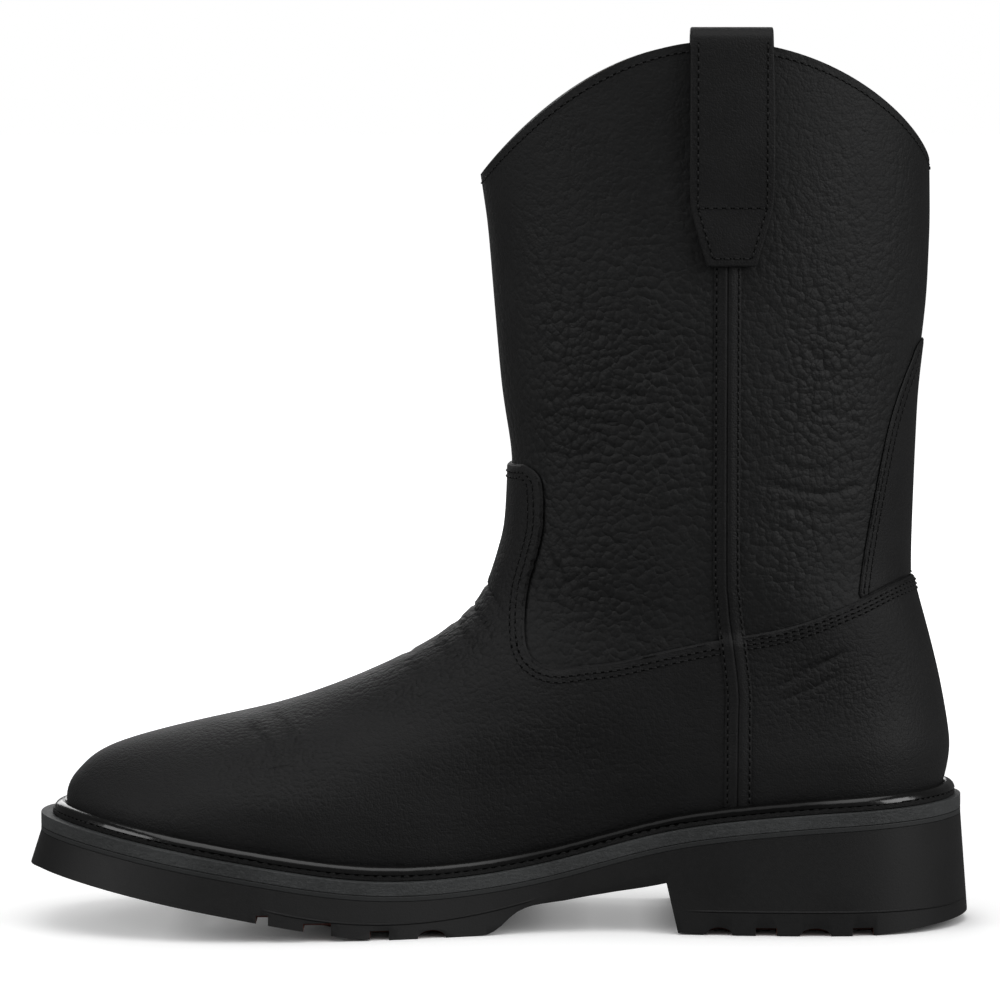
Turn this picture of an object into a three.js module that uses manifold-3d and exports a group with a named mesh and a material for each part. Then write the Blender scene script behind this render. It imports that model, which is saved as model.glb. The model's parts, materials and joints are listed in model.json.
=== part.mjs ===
// A right-foot western pull-on work boot, in millimetres.
// +X points to the toe, +Y to the inner side of the foot (the boot's own left) and +Z up.
// The origin is on the floor, under the middle of the outsole.
import * as THREE from "three";
import { mergeVertices } from "three/addons/utils/BufferGeometryUtils.js";
import Module from "manifold-3d";

const wasm = await Module();
wasm.setup();

// Driving dimensions
const lastLength = 280.8; // heel to toe of the upper, at the feather edge
const ballWidth = 88.6; // across the upper at the ball, at the feather edge
const shaftWidth = 92; // across the collar
const legHeight = 205; // from the heel seat to the back of the collar
const scallopRise = 41; // from the dips of the collar to its crests at the sides
const heelSeatHeight = 40.9; // from the floor to the top of the midsole at the heel
const forefootHeight = 17.3; // the same under the ball of the foot
const toeSpring = 19.7; // how far the toe of the sole rises over the ball
const heelBevel = 3.2; // from the floor to the underside of the heel at its back edge
const heelLength = 96; // from the back of the heel block to its breast, at the floor
const breastSlant = 3.8; // how far the breast leans forward at its top
const wall = 2.2; // leather and lining of the upper
const overlay = 1.4; // leather of the vamp and the counter
const stayThickness = 1; // leather of the back stay
const seamRise = 1.1; // how far a side seam stands out of the leather beside it
const seamWidth = 6.4;
const seamGroove = 0.8; // depth of the groove along its middle
const clearance = 0.3; // between pieces that touch
const midsoleThickness = 4.3;
const slipSoleThickness = 1.4;
const insoleThickness = 4;
const beadRadius = 1.5;
const weltThickness = 1.3;
const weltFlange = 1.7; // stitched strip outside the bead
const toeMargin = 10.6; // from the upper's feather edge to the sole's edge
const sideMargin = 9.3;
const heelMargin = 8.7;
const toeFlare = 3.4; // how far the outsole spreads from its top edge to the floor side
const sideFlare = 2.2;
const heelFlare = 2.4;
const lugDepth = 2.6; // depth of the cuts between the lugs
const strapWidth = 26.2;
const strapThickness = 2.6;
const strapTipWidth = 15.5;
const strapLength = 75.5; // outside, from the top of the loop to the tip
const strapInsideLength = 62;
const strapTaper = 18.5; // length of the narrowing end
const strapLoopRise = 4.4; // from the collar's crest to the top of the loop
const strapStandOff = 1.6; // free gap behind the strap above its sewn end

// Mesh of the upper: points around a section, and levels between two rows of the table
const pointsAround = 48;
const heelX = -lastLength / 2 - 1.5;

// Outline of the last at the feather edge. at: share of the length from the heel. inner, outer: the
// edge's distance from the centreline, as shares of the ball width. innerFull, outerFull: the same
// higher up, where the arch no longer cuts in.
const outlineTable = [
  { at: 0.0, inner: 0.37, outer: 0.307, innerFull: 0.38, outerFull: 0.315 },
  { at: 0.12, inner: 0.37, outer: 0.307, innerFull: 0.39, outerFull: 0.325 },
  { at: 0.22, inner: 0.358, outer: 0.318, innerFull: 0.405, outerFull: 0.345 },
  { at: 0.34, inner: 0.302, outer: 0.343, innerFull: 0.41, outerFull: 0.375 },
  { at: 0.44, inner: 0.288, outer: 0.391, innerFull: 0.415, outerFull: 0.41 },
  { at: 0.54, inner: 0.352, outer: 0.458, innerFull: 0.43, outerFull: 0.455 },
  { at: 0.62, inner: 0.434, outer: 0.498, innerFull: 0.46, outerFull: 0.492 },
  { at: 0.7, inner: 0.488, outer: 0.508, innerFull: 0.49, outerFull: 0.508 },
  { at: 0.77, inner: 0.508, outer: 0.49, innerFull: 0.508, outerFull: 0.49 },
  { at: 0.84, inner: 0.504, outer: 0.441, innerFull: 0.504, outerFull: 0.441 },
  { at: 0.92, inner: 0.474, outer: 0.374, innerFull: 0.474, outerFull: 0.374 },
  { at: 1.0, inner: 0.429, outer: 0.316, innerFull: 0.429, outerFull: 0.316 },
];

// Side view of the sole. at: share of the last's length from the heel. rise: height of the
// midsole's top over the ball, as a share of the heel seat's height over it. thick: thickness of
// the whole sole in front of the heel, as a share of its thickness under the ball.
const soleTable = [
  { at: -0.03, rise: 1.012, thick: 0.8 },
  { at: 0.08, rise: 0.945, thick: 0.8 },
  { at: 0.18, rise: 0.868, thick: 0.85 },
  { at: 0.31, rise: 0.665, thick: 0.94 },
  { at: 0.44, rise: 0.237, thick: 0.74 },
  { at: 0.485, rise: 0.13, thick: 0.76 },
  { at: 0.525, rise: 0.06, thick: 1.1 },
  { at: 0.625, rise: 0.0, thick: 1.03 },
  { at: 1.05, rise: 0.0, thick: 0.96 },
];
const springAt = 0.595; // where the toe begins to rise, as a share of the length
const springBend = 0.13; // over how much of the length it bends up

// Sections of the upper from the feather edge to the collar. backAt, frontAt: shares of the last's
// length from the heel. backUp, frontUp: heights over the sole, as shares of the leg height.
// follow: how much of the sole's curve the section keeps. girth: its width over that of the
// outline. fill: how much of the arch's cut is gone. oval: how much of the shaft's oval it has, and
// half: that oval's half width, as a share of the shaft's width. centre: how far its front lies to
// the inner side, as a share of the ball width. backRound, frontRound: lengths of its round ends,
// as shares of its own length. innerPower, outerPower: how blunt its front is. scallop: share of
// the collar's rise.
const sectionTable = [
  { backAt: 0.0, backUp: 0.0, frontAt: 1.0, frontUp: 0.0, follow: 1.0, girth: 1.0, fill: 0.0, oval: 0,
    half: 0.4, centre: 0.113, backRound: 0.114, frontRound: 0.157, innerPower: 1.9, outerPower: 2.6,
    scallop: 0 },
  { backAt: -0.008, backUp: 0.038, frontAt: 1.002, frontUp: 0.037, follow: 0.95, girth: 1.05,
    fill: 0.12, oval: 0, half: 0.4, centre: 0.11, backRound: 0.12, frontRound: 0.17, innerPower: 1.9,
    outerPower: 2.5, scallop: 0 },
  { backAt: -0.012, backUp: 0.075, frontAt: 0.986, frontUp: 0.0755, follow: 0.86, girth: 1.05,
    fill: 0.28, oval: 0, half: 0.4, centre: 0.1, backRound: 0.125, frontRound: 0.22, innerPower: 1.9,
    outerPower: 2.3, scallop: 0 },
  { backAt: -0.01, backUp: 0.105, frontAt: 0.953, frontUp: 0.116, follow: 0.72, girth: 1.02,
    fill: 0.45, oval: 0, half: 0.4, centre: 0.085, backRound: 0.13, frontRound: 0.33,
    innerPower: 1.95, outerPower: 2.15, scallop: 0 },
  { backAt: -0.005, backUp: 0.146, frontAt: 0.862, frontUp: 0.172, follow: 0.52, girth: 0.98,
    fill: 0.7, oval: 0.05, half: 0.405, centre: 0.065, backRound: 0.155, frontRound: 0.44,
    innerPower: 2, outerPower: 2.05, scallop: 0 },
  { backAt: 0.003, backUp: 0.2, frontAt: 0.734, frontUp: 0.241, follow: 0.32, girth: 0.94,
    fill: 0.9, oval: 0.25, half: 0.405, centre: 0.05, backRound: 0.19, frontRound: 0.58,
    innerPower: 2, outerPower: 2, scallop: 0 },
  { backAt: 0.013, backUp: 0.254, frontAt: 0.6, frontUp: 0.3317, follow: 0.16, girth: 0.92,
    fill: 1, oval: 0.5, half: 0.41, centre: 0.04, backRound: 0.25, frontRound: 0.62, innerPower: 2,
    outerPower: 2, scallop: 0 },
  { backAt: 0.022, backUp: 0.298, frontAt: 0.5267, frontUp: 0.4, follow: 0.05, girth: 0.91,
    fill: 1, oval: 0.75, half: 0.415, centre: 0.034, backRound: 0.32, frontRound: 0.6, innerPower: 2,
    outerPower: 2, scallop: 0 },
  { backAt: 0.032, backUp: 0.348, frontAt: 0.51, frontUp: 0.458, follow: 0, girth: 0.91, fill: 1,
    oval: 0.95, half: 0.423, centre: 0.034, backRound: 0.42, frontRound: 0.56, innerPower: 2.05,
    outerPower: 2.05, scallop: 0 },
  { backAt: 0.0315, backUp: 0.411, frontAt: 0.495, frontUp: 0.526, follow: 0, girth: 0.91, fill: 1,
    oval: 1, half: 0.433, centre: 0.034, backRound: 0.48, frontRound: 0.5, innerPower: 2.1,
    outerPower: 2.1, scallop: 0.01 },
  { backAt: 0.0285, backUp: 0.535, frontAt: 0.491, frontUp: 0.636, follow: 0, girth: 0.91, fill: 1,
    oval: 1, half: 0.449, centre: 0.034, backRound: 0.49, frontRound: 0.49, innerPower: 2.1,
    outerPower: 2.1, scallop: 0.05 },
  { backAt: 0.025, backUp: 0.644, frontAt: 0.504, frontUp: 0.747, follow: 0, girth: 0.91, fill: 1,
    oval: 1, half: 0.467, centre: 0.034, backRound: 0.49, frontRound: 0.49, innerPower: 2.1,
    outerPower: 2.1, scallop: 0.16 },
  { backAt: 0.0125, backUp: 0.785, frontAt: 0.5125, frontUp: 0.884, follow: 0, girth: 0.91, fill: 1,
    oval: 1, half: 0.485, centre: 0.034, backRound: 0.49, frontRound: 0.49, innerPower: 2.1,
    outerPower: 2.1, scallop: 0.38 },
  { backAt: 0.009, backUp: 0.905, frontAt: 0.52, frontUp: 1.009, follow: 0, girth: 0.91, fill: 1,
    oval: 1, half: 0.496, centre: 0.034, backRound: 0.49, frontRound: 0.49, innerPower: 2.1,
    outerPower: 2.1, scallop: 0.7 },
  { backAt: 0.01, backUp: 1.0, frontAt: 0.5285, frontUp: 1.0873, follow: 0, girth: 0.91, fill: 1,
    oval: 1, half: 0.5, centre: 0.034, backRound: 0.49, frontRound: 0.49, innerPower: 2.1,
    outerPower: 2.1, scallop: 1 },
];
const scallopFrontPower = 1.9; // how late the collar climbs from its front dip
const scallopBackPower = 1.5;
const fineRows = 5; // rows of the table over the foot, with a second level between each two

// Edges of the overlays in side view. at: share of the last's length from the heel. up: height over
// the heel seat, as a share of the leg height.
const vampEdge = [
  { at: 0.6, up: 0.527 },
  { at: 0.496, up: 0.527 },
  { at: 0.479, up: 0.528 },
  { at: 0.464, up: 0.513 },
  { at: 0.459, up: 0.488 },
  { at: 0.459, up: 0.432 },
  { at: 0.4665, up: 0.384 },
  { at: 0.476, up: 0.334 },
  { at: 0.479, up: 0.285 },
  { at: 0.476, up: 0.246 },
  { at: 0.465, up: 0.225 },
  { at: 0.443, up: 0.214 },
  { at: 0.407, up: 0.2195 },
  { at: 0.371, up: 0.226 },
  { at: 0.316, up: 0.242 },
];
const counterEdge = [
  { at: 0.2247, up: 0.265 },
  { at: 0.166, up: 0.284 },
  { at: 0.101, up: 0.316 },
  { at: 0.035, up: 0.348 },
  { at: -0.04, up: 0.349 },
];
const stayEdge = [
  { at: -0.04, up: 0.724 },
  { at: 0.015, up: 0.724 },
  { at: 0.034, up: 0.685 },
  { at: 0.05, up: 0.632 },
  { at: 0.061, up: 0.583 },
  { at: 0.071, up: 0.52 },
  { at: 0.081, up: 0.45 },
  { at: 0.09, up: 0.38 },
  { at: 0.095, up: 0.33 },
];
const seamLine = [
  { at: 0.234, up: -0.2 },
  { at: 0.234, up: 0.12 },
  { at: 0.234, up: 0.178 },
  { at: 0.2405, up: 0.254 },
  { at: 0.2465, up: 0.323 },
  { at: 0.249, up: 0.45 },
  { at: 0.249, up: 1.3 },
];
const seamGap = 0.5; // half the gap between vamp and counter along the seam
const shaftSeamFoot = 0.272; // lower end of the shaft's side seam, as a share of the leg height
const footSeamHead = 0.25; // upper end of the same seam over the foot

// Cuts between the lugs, open at the sole's edge on both sides. at: share of the last's length from
// the heel. width: along the sole. arched: with a round roof.
const lugTable = [
  { at: 0.093, width: 6.7, arched: false },
  { at: 0.147, width: 10.2, arched: true },
  { at: 0.203, width: 6.7, arched: false },
  { at: 0.256, width: 8.2, arched: true },
  { at: 0.583, width: 8.8, arched: true },
  { at: 0.642, width: 6, arched: false },
  { at: 0.712, width: 8.8, arched: false },
  { at: 0.774, width: 3.8, arched: false },
];
const lugReach = 17; // how far those cuts run in from the edge

// Cuts along the middle of the tread. reach: half their length.
const middleCuts = [
  { at: 0.12, width: 7, reach: 12, arched: false },
  { at: 0.19, width: 7, reach: 12, arched: false },
  { at: 0.61, width: 6, reach: 20, arched: false },
  { at: 0.68, width: 6, reach: 22, arched: false },
  { at: 0.75, width: 6, reach: 22, arched: false },
  { at: 0.82, width: 6, reach: 20, arched: false },
  { at: 0.89, width: 6, reach: 17, arched: false },
];

// Helpers
const lerp = THREE.MathUtils.lerp;
const clamp = THREE.MathUtils.clamp;

// A smooth curve through points that never swings past them.
function smooth(xs, ys) {
  const steps = xs.slice(1).map((x, i) => (ys[i + 1] - ys[i]) / (x - xs[i]));
  const slopes = ys.map((y, i) => {
    const before = steps[Math.max(i - 1, 0)];
    const after = steps[Math.min(i, steps.length - 1)];
    if (before * after <= 0) {
      return 0;
    }
    const limit = 3 * Math.min(Math.abs(before), Math.abs(after));
    return clamp((before + after) / 2, -limit, limit);
  });
  return (at) => {
    const x = clamp(at, xs[0], xs[xs.length - 1]);
    let i = 0;
    while (i < xs.length - 2 && x > xs[i + 1]) {
      i += 1;
    }
    const width = xs[i + 1] - xs[i];
    const t = (x - xs[i]) / width;
    const u = 1 - t;
    const ends = ys[i] * u * u * (1 + 2 * t) + ys[i + 1] * t * t * (1 + 2 * u);
    return ends + width * t * u * (slopes[i] * u - slopes[i + 1] * t);
  };
}

function columns(rows, from) {
  const xs = rows.map((row, index) => (from ? row[from] : index));
  const names = Object.keys(rows[0]).filter((name) => name !== from);
  return Object.fromEntries(names.map((name) => [name, smooth(xs, rows.map((row) => row[name]))]));
}

const outline = columns(outlineTable, "at");
const soleSide = columns(soleTable, "at");
const section = columns(sectionTable);

// Sole heights
function lastShare(x) {
  return (x - heelX) / lastLength;
}

function lastX(at) {
  return heelX + at * lastLength;
}

function springHeight(x) {
  const bent = (share) => {
    const q = (share - springAt) / springBend;
    return q < 0 ? 0 : q < 1 ? (q * q) / 2 : q - 0.5;
  };
  return (toeSpring * bent(lastShare(x))) / bent(1 + (toeMargin + toeFlare) / lastLength);
}

function soleTop(x) {
  const rise = soleSide.rise(lastShare(x)) * (heelSeatHeight - forefootHeight);
  return forefootHeight + rise + springHeight(x);
}

// Round ends of a section
function roundEnd(share, length, power) {
  const inside = clamp(share / length, 0, 1);
  return (1 - (1 - inside) ** power) ** (1 / power);
}

// One point of the upper's outer face. level counts rows of the section table. around runs from 0
// at the front over the inner side to 0.5 at the back, and on over the outer side to 1.
function bodyPoint(level, around) {
  const row = Object.fromEntries(Object.keys(section).map((name) => [name, section[name](level)]));
  const turn = 2 * Math.PI * around;
  const share = (1 + Math.cos(turn)) / 2;
  const at = lerp(row.backAt, row.frontAt, share);
  const x = lastX(at);
  const onInner = Math.sin(turn) >= 0;
  const side = onInner ? 1 : -1;
  const middle = row.centre * ballWidth * share * share;
  const edge = onInner ? "inner" : "outer";
  const cut = lerp(outline[edge](at), outline[`${edge}Full`](at), row.fill);
  const flat = cut * ballWidth * row.girth - side * middle;
  const half = lerp(flat, row.half * shaftWidth, row.oval);
  const back = roundEnd(share, row.backRound, 2);
  const front = roundEnd(1 - share, row.frontRound, onInner ? row.innerPower : row.outerPower);
  const straight = lerp(soleTop(lastX(row.backAt)), soleTop(lastX(row.frontAt)), share);
  const base = lerp(straight, soleTop(x), row.follow);
  const power = share > 0.5 ? scallopFrontPower : scallopBackPower;
  const crest = row.scallop * scallopRise * Math.abs(Math.sin(turn)) ** power;
  const z = base + clearance + legHeight * lerp(row.backUp, row.frontUp, share) + crest;
  return new THREE.Vector3(x, middle + side * half * back * front, z);
}

// The direction out of the upper. At the feather edge it lies level.
function outward(level, around) {
  const step = 0.5 / pointsAround;
  const top = sectionTable.length - 1;
  const along = bodyPoint(level, around + step).sub(bodyPoint(level, around - step));
  const low = bodyPoint(Math.max(level - 0.25, 0), around);
  const up = bodyPoint(Math.min(level + 0.25, top), around).sub(low);
  const normal = along.cross(level > 0 ? up : new THREE.Vector3(0, 0, 1));
  if (level === 0) {
    normal.z = 0;
  }
  return normal.normalize();
}

function upperPoint(level, around, offset) {
  return bodyPoint(level, around).addScaledVector(outward(level, around), offset);
}

function solePoint(around, offset, height) {
  const point = upperPoint(0, around, offset);
  point.z = height(point.x);
  return point;
}

const arounds = Array.from({ length: pointsAround }, (_, i) => i / pointsAround);
const topLevel = sectionTable.length - 1;
const levels = [];
for (let row = 0; row < topLevel; row += 1) {
  const steps = row < fineRows ? 2 : 1;
  for (let i = 0; i < steps; i += 1) {
    levels.push(row + i / steps);
  }
}
levels.push(topLevel);

// Mesh builders
function toGeometry(points, triangles) {
  const geometry = new THREE.BufferGeometry();
  const numbers = points.flatMap((point) => [point.x, point.y, point.z]);
  geometry.setAttribute("position", new THREE.Float32BufferAttribute(numbers, 3));
  geometry.setIndex(triangles);
  return geometry;
}

// Faces between rings of the same number of points, each counted the same way round.
function bands(rings, closed) {
  const count = rings[0].length;
  const triangles = [];
  const last = closed ? rings.length : rings.length - 1;
  for (let r = 0; r < last; r += 1) {
    const low = r * count;
    const high = ((r + 1) % rings.length) * count;
    for (let i = 0; i < count; i += 1) {
      const j = (i + 1) % count;
      triangles.push(low + i, low + j, high + j, low + i, high + j, high + i);
    }
  }
  return triangles;
}

// A ring-shaped solid through sections that close on themselves.
function ringSolid(rings) {
  return toGeometry(rings.flat(), bands(rings, true));
}

// A solid through rings from bottom to top, closed by rungs from one side to the other.
function loft(rings) {
  const count = rings[0].length;
  const half = count / 2;
  const triangles = bands(rings, false);
  const cap = (start, up) => {
    const face = (a, b, c) => triangles.push(start + a, start + (up ? b : c), start + (up ? c : b));
    for (let i = 0; i < half; i += 1) {
      const left = (count - i) % count;
      const right = i;
      if (i < half - 1) {
        face(right, right + 1, count - i - 1);
      } else {
        face(right, half, left);
      }
      if (i > 0 && i < half - 1) {
        face(right, count - i - 1, left);
      }
    }
  };
  cap(0, false);
  cap(count * (rings.length - 1), true);
  return toGeometry(rings.flat(), triangles);
}

function toSolid(geometry) {
  const bare = geometry.clone();
  bare.deleteAttribute("normal");
  bare.deleteAttribute("uv");
  const merged = mergeVertices(bare, 1e-4);
  return new wasm.Manifold(
    new wasm.Mesh({
      numProp: 3,
      vertProperties: new Float32Array(merged.attributes.position.array),
      triVerts: new Uint32Array(merged.index.array),
    }),
  );
}

function toMeshGeometry(solid) {
  const mesh = solid.getMesh();
  const geometry = new THREE.BufferGeometry();
  geometry.setAttribute("position", new THREE.Float32BufferAttribute(mesh.vertProperties, 3));
  geometry.setIndex(Array.from(mesh.triVerts));
  return geometry;
}

// A straight cutter through the whole boot from a shape in side view.
function sideCutter(points, from = -ballWidth, to = ballWidth) {
  const shape = new THREE.Shape(points);
  const geometry = new THREE.ExtrudeGeometry(shape, { depth: to - from, bevelEnabled: false });
  geometry.rotateX(Math.PI / 2);
  geometry.translate(0, to, 0);
  return toSolid(geometry);
}

function legZ(up) {
  return heelSeatHeight + up * legHeight;
}

function sidePoint({ at, up }) {
  return new THREE.Vector2(lastX(at), legZ(up));
}

const seamX = smooth(
  seamLine.map((row) => legZ(row.up)),
  seamLine.map((row) => lastX(row.at)),
);

// The part of the seam between vamp and counter, moved to one side of it.
function seamEdge(shift) {
  return seamLine.slice(0, 4).map(({ up }) => new THREE.Vector2(seamX(legZ(up)) + shift, legZ(up)));
}

// Upper
function upperRing(level, offset) {
  return arounds.map((around) => upperPoint(level, around, offset));
}

function makeUpper() {
  const outer = levels.map((level) => upperRing(level, 0));
  const inner = levels.map((level) => upperRing(level, -wall)).reverse();
  return ringSolid([...outer, ...inner]);
}

// The upper grown by an offset, as a filled form. An open one reaches past the other at both ends.
function upperForm(offset, topRow, reach) {
  const used = levels.filter((level) => level <= topRow);
  const rings = used.map((level) => upperRing(level, offset));
  if (reach > 0) {
    const shifted = (ring, z) => ring.map((point) => point.clone().setZ(point.z + z));
    rings.unshift(shifted(rings[0], -reach));
    rings.push(shifted(rings[rings.length - 1], reach));
  }
  return toSolid(loft(rings));
}

function makeOverlay(thickness, cutter, topRow) {
  const outside = upperForm(clearance + thickness, topRow, 0);
  const inside = upperForm(clearance, topRow, 6);
  return toMeshGeometry(outside.intersect(cutter).subtract(inside));
}

function makeVamp() {
  const edge = vampEdge.map(sidePoint);
  const toe = lastX(1.1);
  const seam = seamEdge(seamGap).reverse();
  const front = new THREE.Vector2(toe, edge[0].y);
  const floor = new THREE.Vector2(toe, seam[seam.length - 1].y);
  return makeOverlay(overlay, sideCutter([...edge, ...seam, floor, front]), 10);
}

function makeCounter() {
  const edge = counterEdge.map(sidePoint);
  const seam = seamEdge(-seamGap);
  const floor = new THREE.Vector2(edge[edge.length - 1].x, seam[0].y);
  return makeOverlay(overlay, sideCutter([...edge, floor, ...seam]), 9);
}

function makeBackStay() {
  const edge = stayEdge.map(sidePoint);
  const under = counterEdge.slice(2).map((row) => {
    const point = sidePoint(row);
    point.y += clearance;
    return point;
  });
  return makeOverlay(stayThickness, sideCutter([...edge, ...under]), 13);
}

// Where a place in side view lies on the upper's own grid. side: 1 inner, -1 outer.
function gridPlace(x, z, side) {
  const aroundAt = (level) => {
    const back = lastX(section.backAt(level));
    const front = lastX(section.frontAt(level));
    const turn = Math.acos(clamp((2 * (x - back)) / (front - back) - 1, -1, 1)) / (2 * Math.PI);
    return side > 0 ? turn : 1 - turn;
  };
  let low = 0;
  let high = topLevel;
  for (let i = 0; i < 30; i += 1) {
    const middle = (low + high) / 2;
    if (bodyPoint(middle, aroundAt(middle)).z < z) {
      low = middle;
    } else {
      high = middle;
    }
  }
  return [low, aroundAt(low)];
}

function facePoint(x, z, side, offset) {
  return upperPoint(...gridPlace(x, z, side), offset);
}

// A ridge along the side seam, thin at its edges and grooved along its middle.
function makeSeam(side, low, high, base, steps) {
  const crown = seamWidth * 0.19;
  const thin = base + 0.35 * seamRise;
  const profile = [
    [seamWidth / 2, thin],
    [crown, base + seamRise],
    [0, base + seamRise - seamGroove],
    [-crown, base + seamRise],
    [-seamWidth / 2, thin],
    [-crown, base],
    [0, base],
    [crown, base],
  ];
  const rings = Array.from({ length: steps + 1 }, (_, i) => {
    const z = lerp(low, high, i / steps);
    const ring = profile.map(([shift, rise]) => facePoint(seamX(z) + shift, z, side, rise));
    return side > 0 ? ring : ring.reverse();
  });
  return loft(rings);
}

function makeShaftSeam(side) {
  const high = strapTop() - strapLength - clearance;
  return makeSeam(side, legZ(shaftSeamFoot), high, clearance, 9);
}

// The same over the foot, across the edges of vamp and counter, down to the welt's bead.
function makeFootSeam(side) {
  const beadTop = weltThickness + 2 * beadRadius + 2 * clearance;
  const low = soleTop(seamX(0)) + clearance + beadTop;
  return makeSeam(side, low, legZ(footSeamHead), overlay + 2 * clearance, 7);
}

// Pull straps, each over the crest of the collar at a side seam
function strapX() {
  return lastX(seamLine[seamLine.length - 1].at);
}

function crestPoint(side) {
  return facePoint(strapX(), Infinity, side, 0);
}

function strapTop() {
  return crestPoint(1).z + strapLoopRise;
}

function makeStrap(side) {
  const crest = crestPoint(side);
  const top = crest.z + strapLoopRise;
  const free = clearance + strapStandOff;
  const sewn = top - strapLength + strapTaper;
  const gapAt = (z) => lerp(clearance, free, THREE.MathUtils.smoothstep(z, sewn, sewn + 12));
  const widthAt = (z) => {
    const taper = clamp((z - (top - strapLength)) / strapTaper, 0, 1);
    return lerp(strapTipWidth, strapWidth, taper);
  };
  const ring = (width, place) => {
    const across = [1, 0, -1].map((share) => strapX() + (share * width) / 2);
    const out = across.map((x) => place(x, strapThickness));
    const inn = across.map((x) => place(x, 0)).reverse();
    const points = [...out, ...inn];
    return side > 0 ? points : points.reverse();
  };
  const rings = [];
  const outside = [0, 0.5, 1, 1.35, 1.75, 2.2, 2.8];
  outside.forEach((share) => {
    const z = top - strapLength + share * strapTaper;
    const place = (x, rise) => facePoint(x, z, side, gapAt(z) + rise);
    rings.push(ring(widthAt(z), place));
  });
  const arcSteps = 8;
  for (let i = 0; i <= arcSteps; i += 1) {
    const angle = (Math.PI * i) / arcSteps;
    const place = (x, rise) => {
      const rim = facePoint(x, crest.z - strapLoopRise, side, 0);
      const reach = wall / 2 + free + rise;
      const climb = strapLoopRise - strapThickness + rise;
      const y = rim.y + side * (reach * Math.cos(angle) - wall / 2);
      return new THREE.Vector3(x, y, crest.z + climb * Math.sin(angle));
    };
    rings.push(ring(strapWidth, place));
  }
  const inside = [0.25, 0.5, 0.75, 1];
  inside.forEach((share) => {
    const z = crest.z - share * (strapInsideLength - strapLoopRise);
    const gap = lerp(free, clearance, THREE.MathUtils.smoothstep(share, 0.2, 0.7));
    const place = (x, rise) => facePoint(x, z, side, -wall - gap - rise);
    rings.push(ring(strapWidth, place));
  });
  return loft(rings);
}

// Sole pieces
function marginAt(around) {
  const share = (1 + Math.cos(2 * Math.PI * around)) / 2;
  const toe = THREE.MathUtils.smoothstep(share, 0.5, 1);
  const heel = THREE.MathUtils.smoothstep(1 - share, 0.5, 1);
  return [sideMargin, sideFlare].map((side, i) => {
    const ends = i === 0 ? [toeMargin, heelMargin] : [toeFlare, heelFlare];
    return side + (ends[0] - side) * toe + (ends[1] - side) * heel;
  });
}

function soleRing(height, flare) {
  return arounds.map((around) => {
    const [margin, spread] = marginAt(around);
    return solePoint(around, margin + flare * spread, height);
  });
}

function makePlate(top, thickness) {
  const at = (depth) => soleRing((x) => soleTop(x) - depth, 0);
  return loft([at(top + thickness), at(top)]);
}

const slipSoleDepth = midsoleThickness + clearance;
const outsoleDepth = slipSoleDepth + slipSoleThickness + clearance;
const bevelStart = 0.085; // where the heel's underside begins to rise, as a share of the length
const breastX = heelX - heelMargin - heelFlare + heelLength;
const treadStart = 0.522; // where the waist meets the tread, as a share of the length
const waistSteps = 7;

// Height of the underside in front of the heel.
function soleUnder(x) {
  return Math.max(0, soleTop(x) - forefootHeight * soleSide.thick(lastShare(x)));
}

// Height of the underside, with the waist still filled down to the floor.
function underside(x) {
  if (lastShare(x) > treadStart) {
    return soleUnder(x);
  }
  const back = -(heelMargin + heelFlare) / lastLength;
  return heelBevel * clamp((bevelStart - lastShare(x)) / (bevelStart - back), 0, 1);
}

// What the waist leaves free between the heel's breast and the tread.
function waistCut() {
  const start = breastX + breastSlant;
  const end = lastX(treadStart);
  const points = Array.from({ length: waistSteps + 1 }, (_, i) => {
    const x = lerp(start, end, i / waistSteps);
    return new THREE.Vector2(x, soleUnder(x));
  });
  const floor = [new THREE.Vector2(end, -lugDepth), new THREE.Vector2(breastX, -lugDepth)];
  return sideCutter([...points, ...floor, new THREE.Vector2(breastX, 0)]);
}

// A cut across the sole's underside, square or arched, from one side place to another.
function lugCut({ at, width, arched }, from, to) {
  const x = lastX(at);
  const roof = Math.max(underside(x - width / 2), underside(x + width / 2)) + lugDepth;
  const half = width / 2;
  const shape = new THREE.Shape();
  shape.moveTo(x - half, -lugDepth);
  shape.lineTo(x + half, -lugDepth);
  if (arched) {
    shape.lineTo(x + half, roof - lugDepth);
    shape.quadraticCurveTo(x + half, roof, x, roof);
    shape.quadraticCurveTo(x - half, roof, x - half, roof - lugDepth);
  } else {
    shape.lineTo(x + half, roof);
    shape.lineTo(x - half, roof);
  }
  const geometry = new THREE.ExtrudeGeometry(shape, {
    depth: to - from,
    bevelEnabled: false,
    curveSegments: 3,
  });
  geometry.rotateX(Math.PI / 2);
  geometry.translate(0, to, 0);
  return toSolid(geometry);
}

function makeOutsole() {
  const top = soleRing((x) => soleTop(x) - outsoleDepth, 0);
  let body = toSolid(loft([soleRing(underside, 1), top])).subtract(waistCut());
  lugTable.forEach((cut) => {
    const inner = (outline.inner(cut.at) * ballWidth) + sideMargin;
    const outer = (outline.outer(cut.at) * ballWidth) + sideMargin;
    body = body.subtract(lugCut(cut, inner - lugReach, inner + lugReach));
    body = body.subtract(lugCut(cut, -outer - lugReach, -outer + lugReach));
  });
  middleCuts.forEach((cut) => {
    const middle = ((outline.inner(cut.at) - outline.outer(cut.at)) * ballWidth) / 2;
    body = body.subtract(lugCut(cut, middle - cut.reach, middle + cut.reach));
  });
  return toMeshGeometry(body);
}

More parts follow.
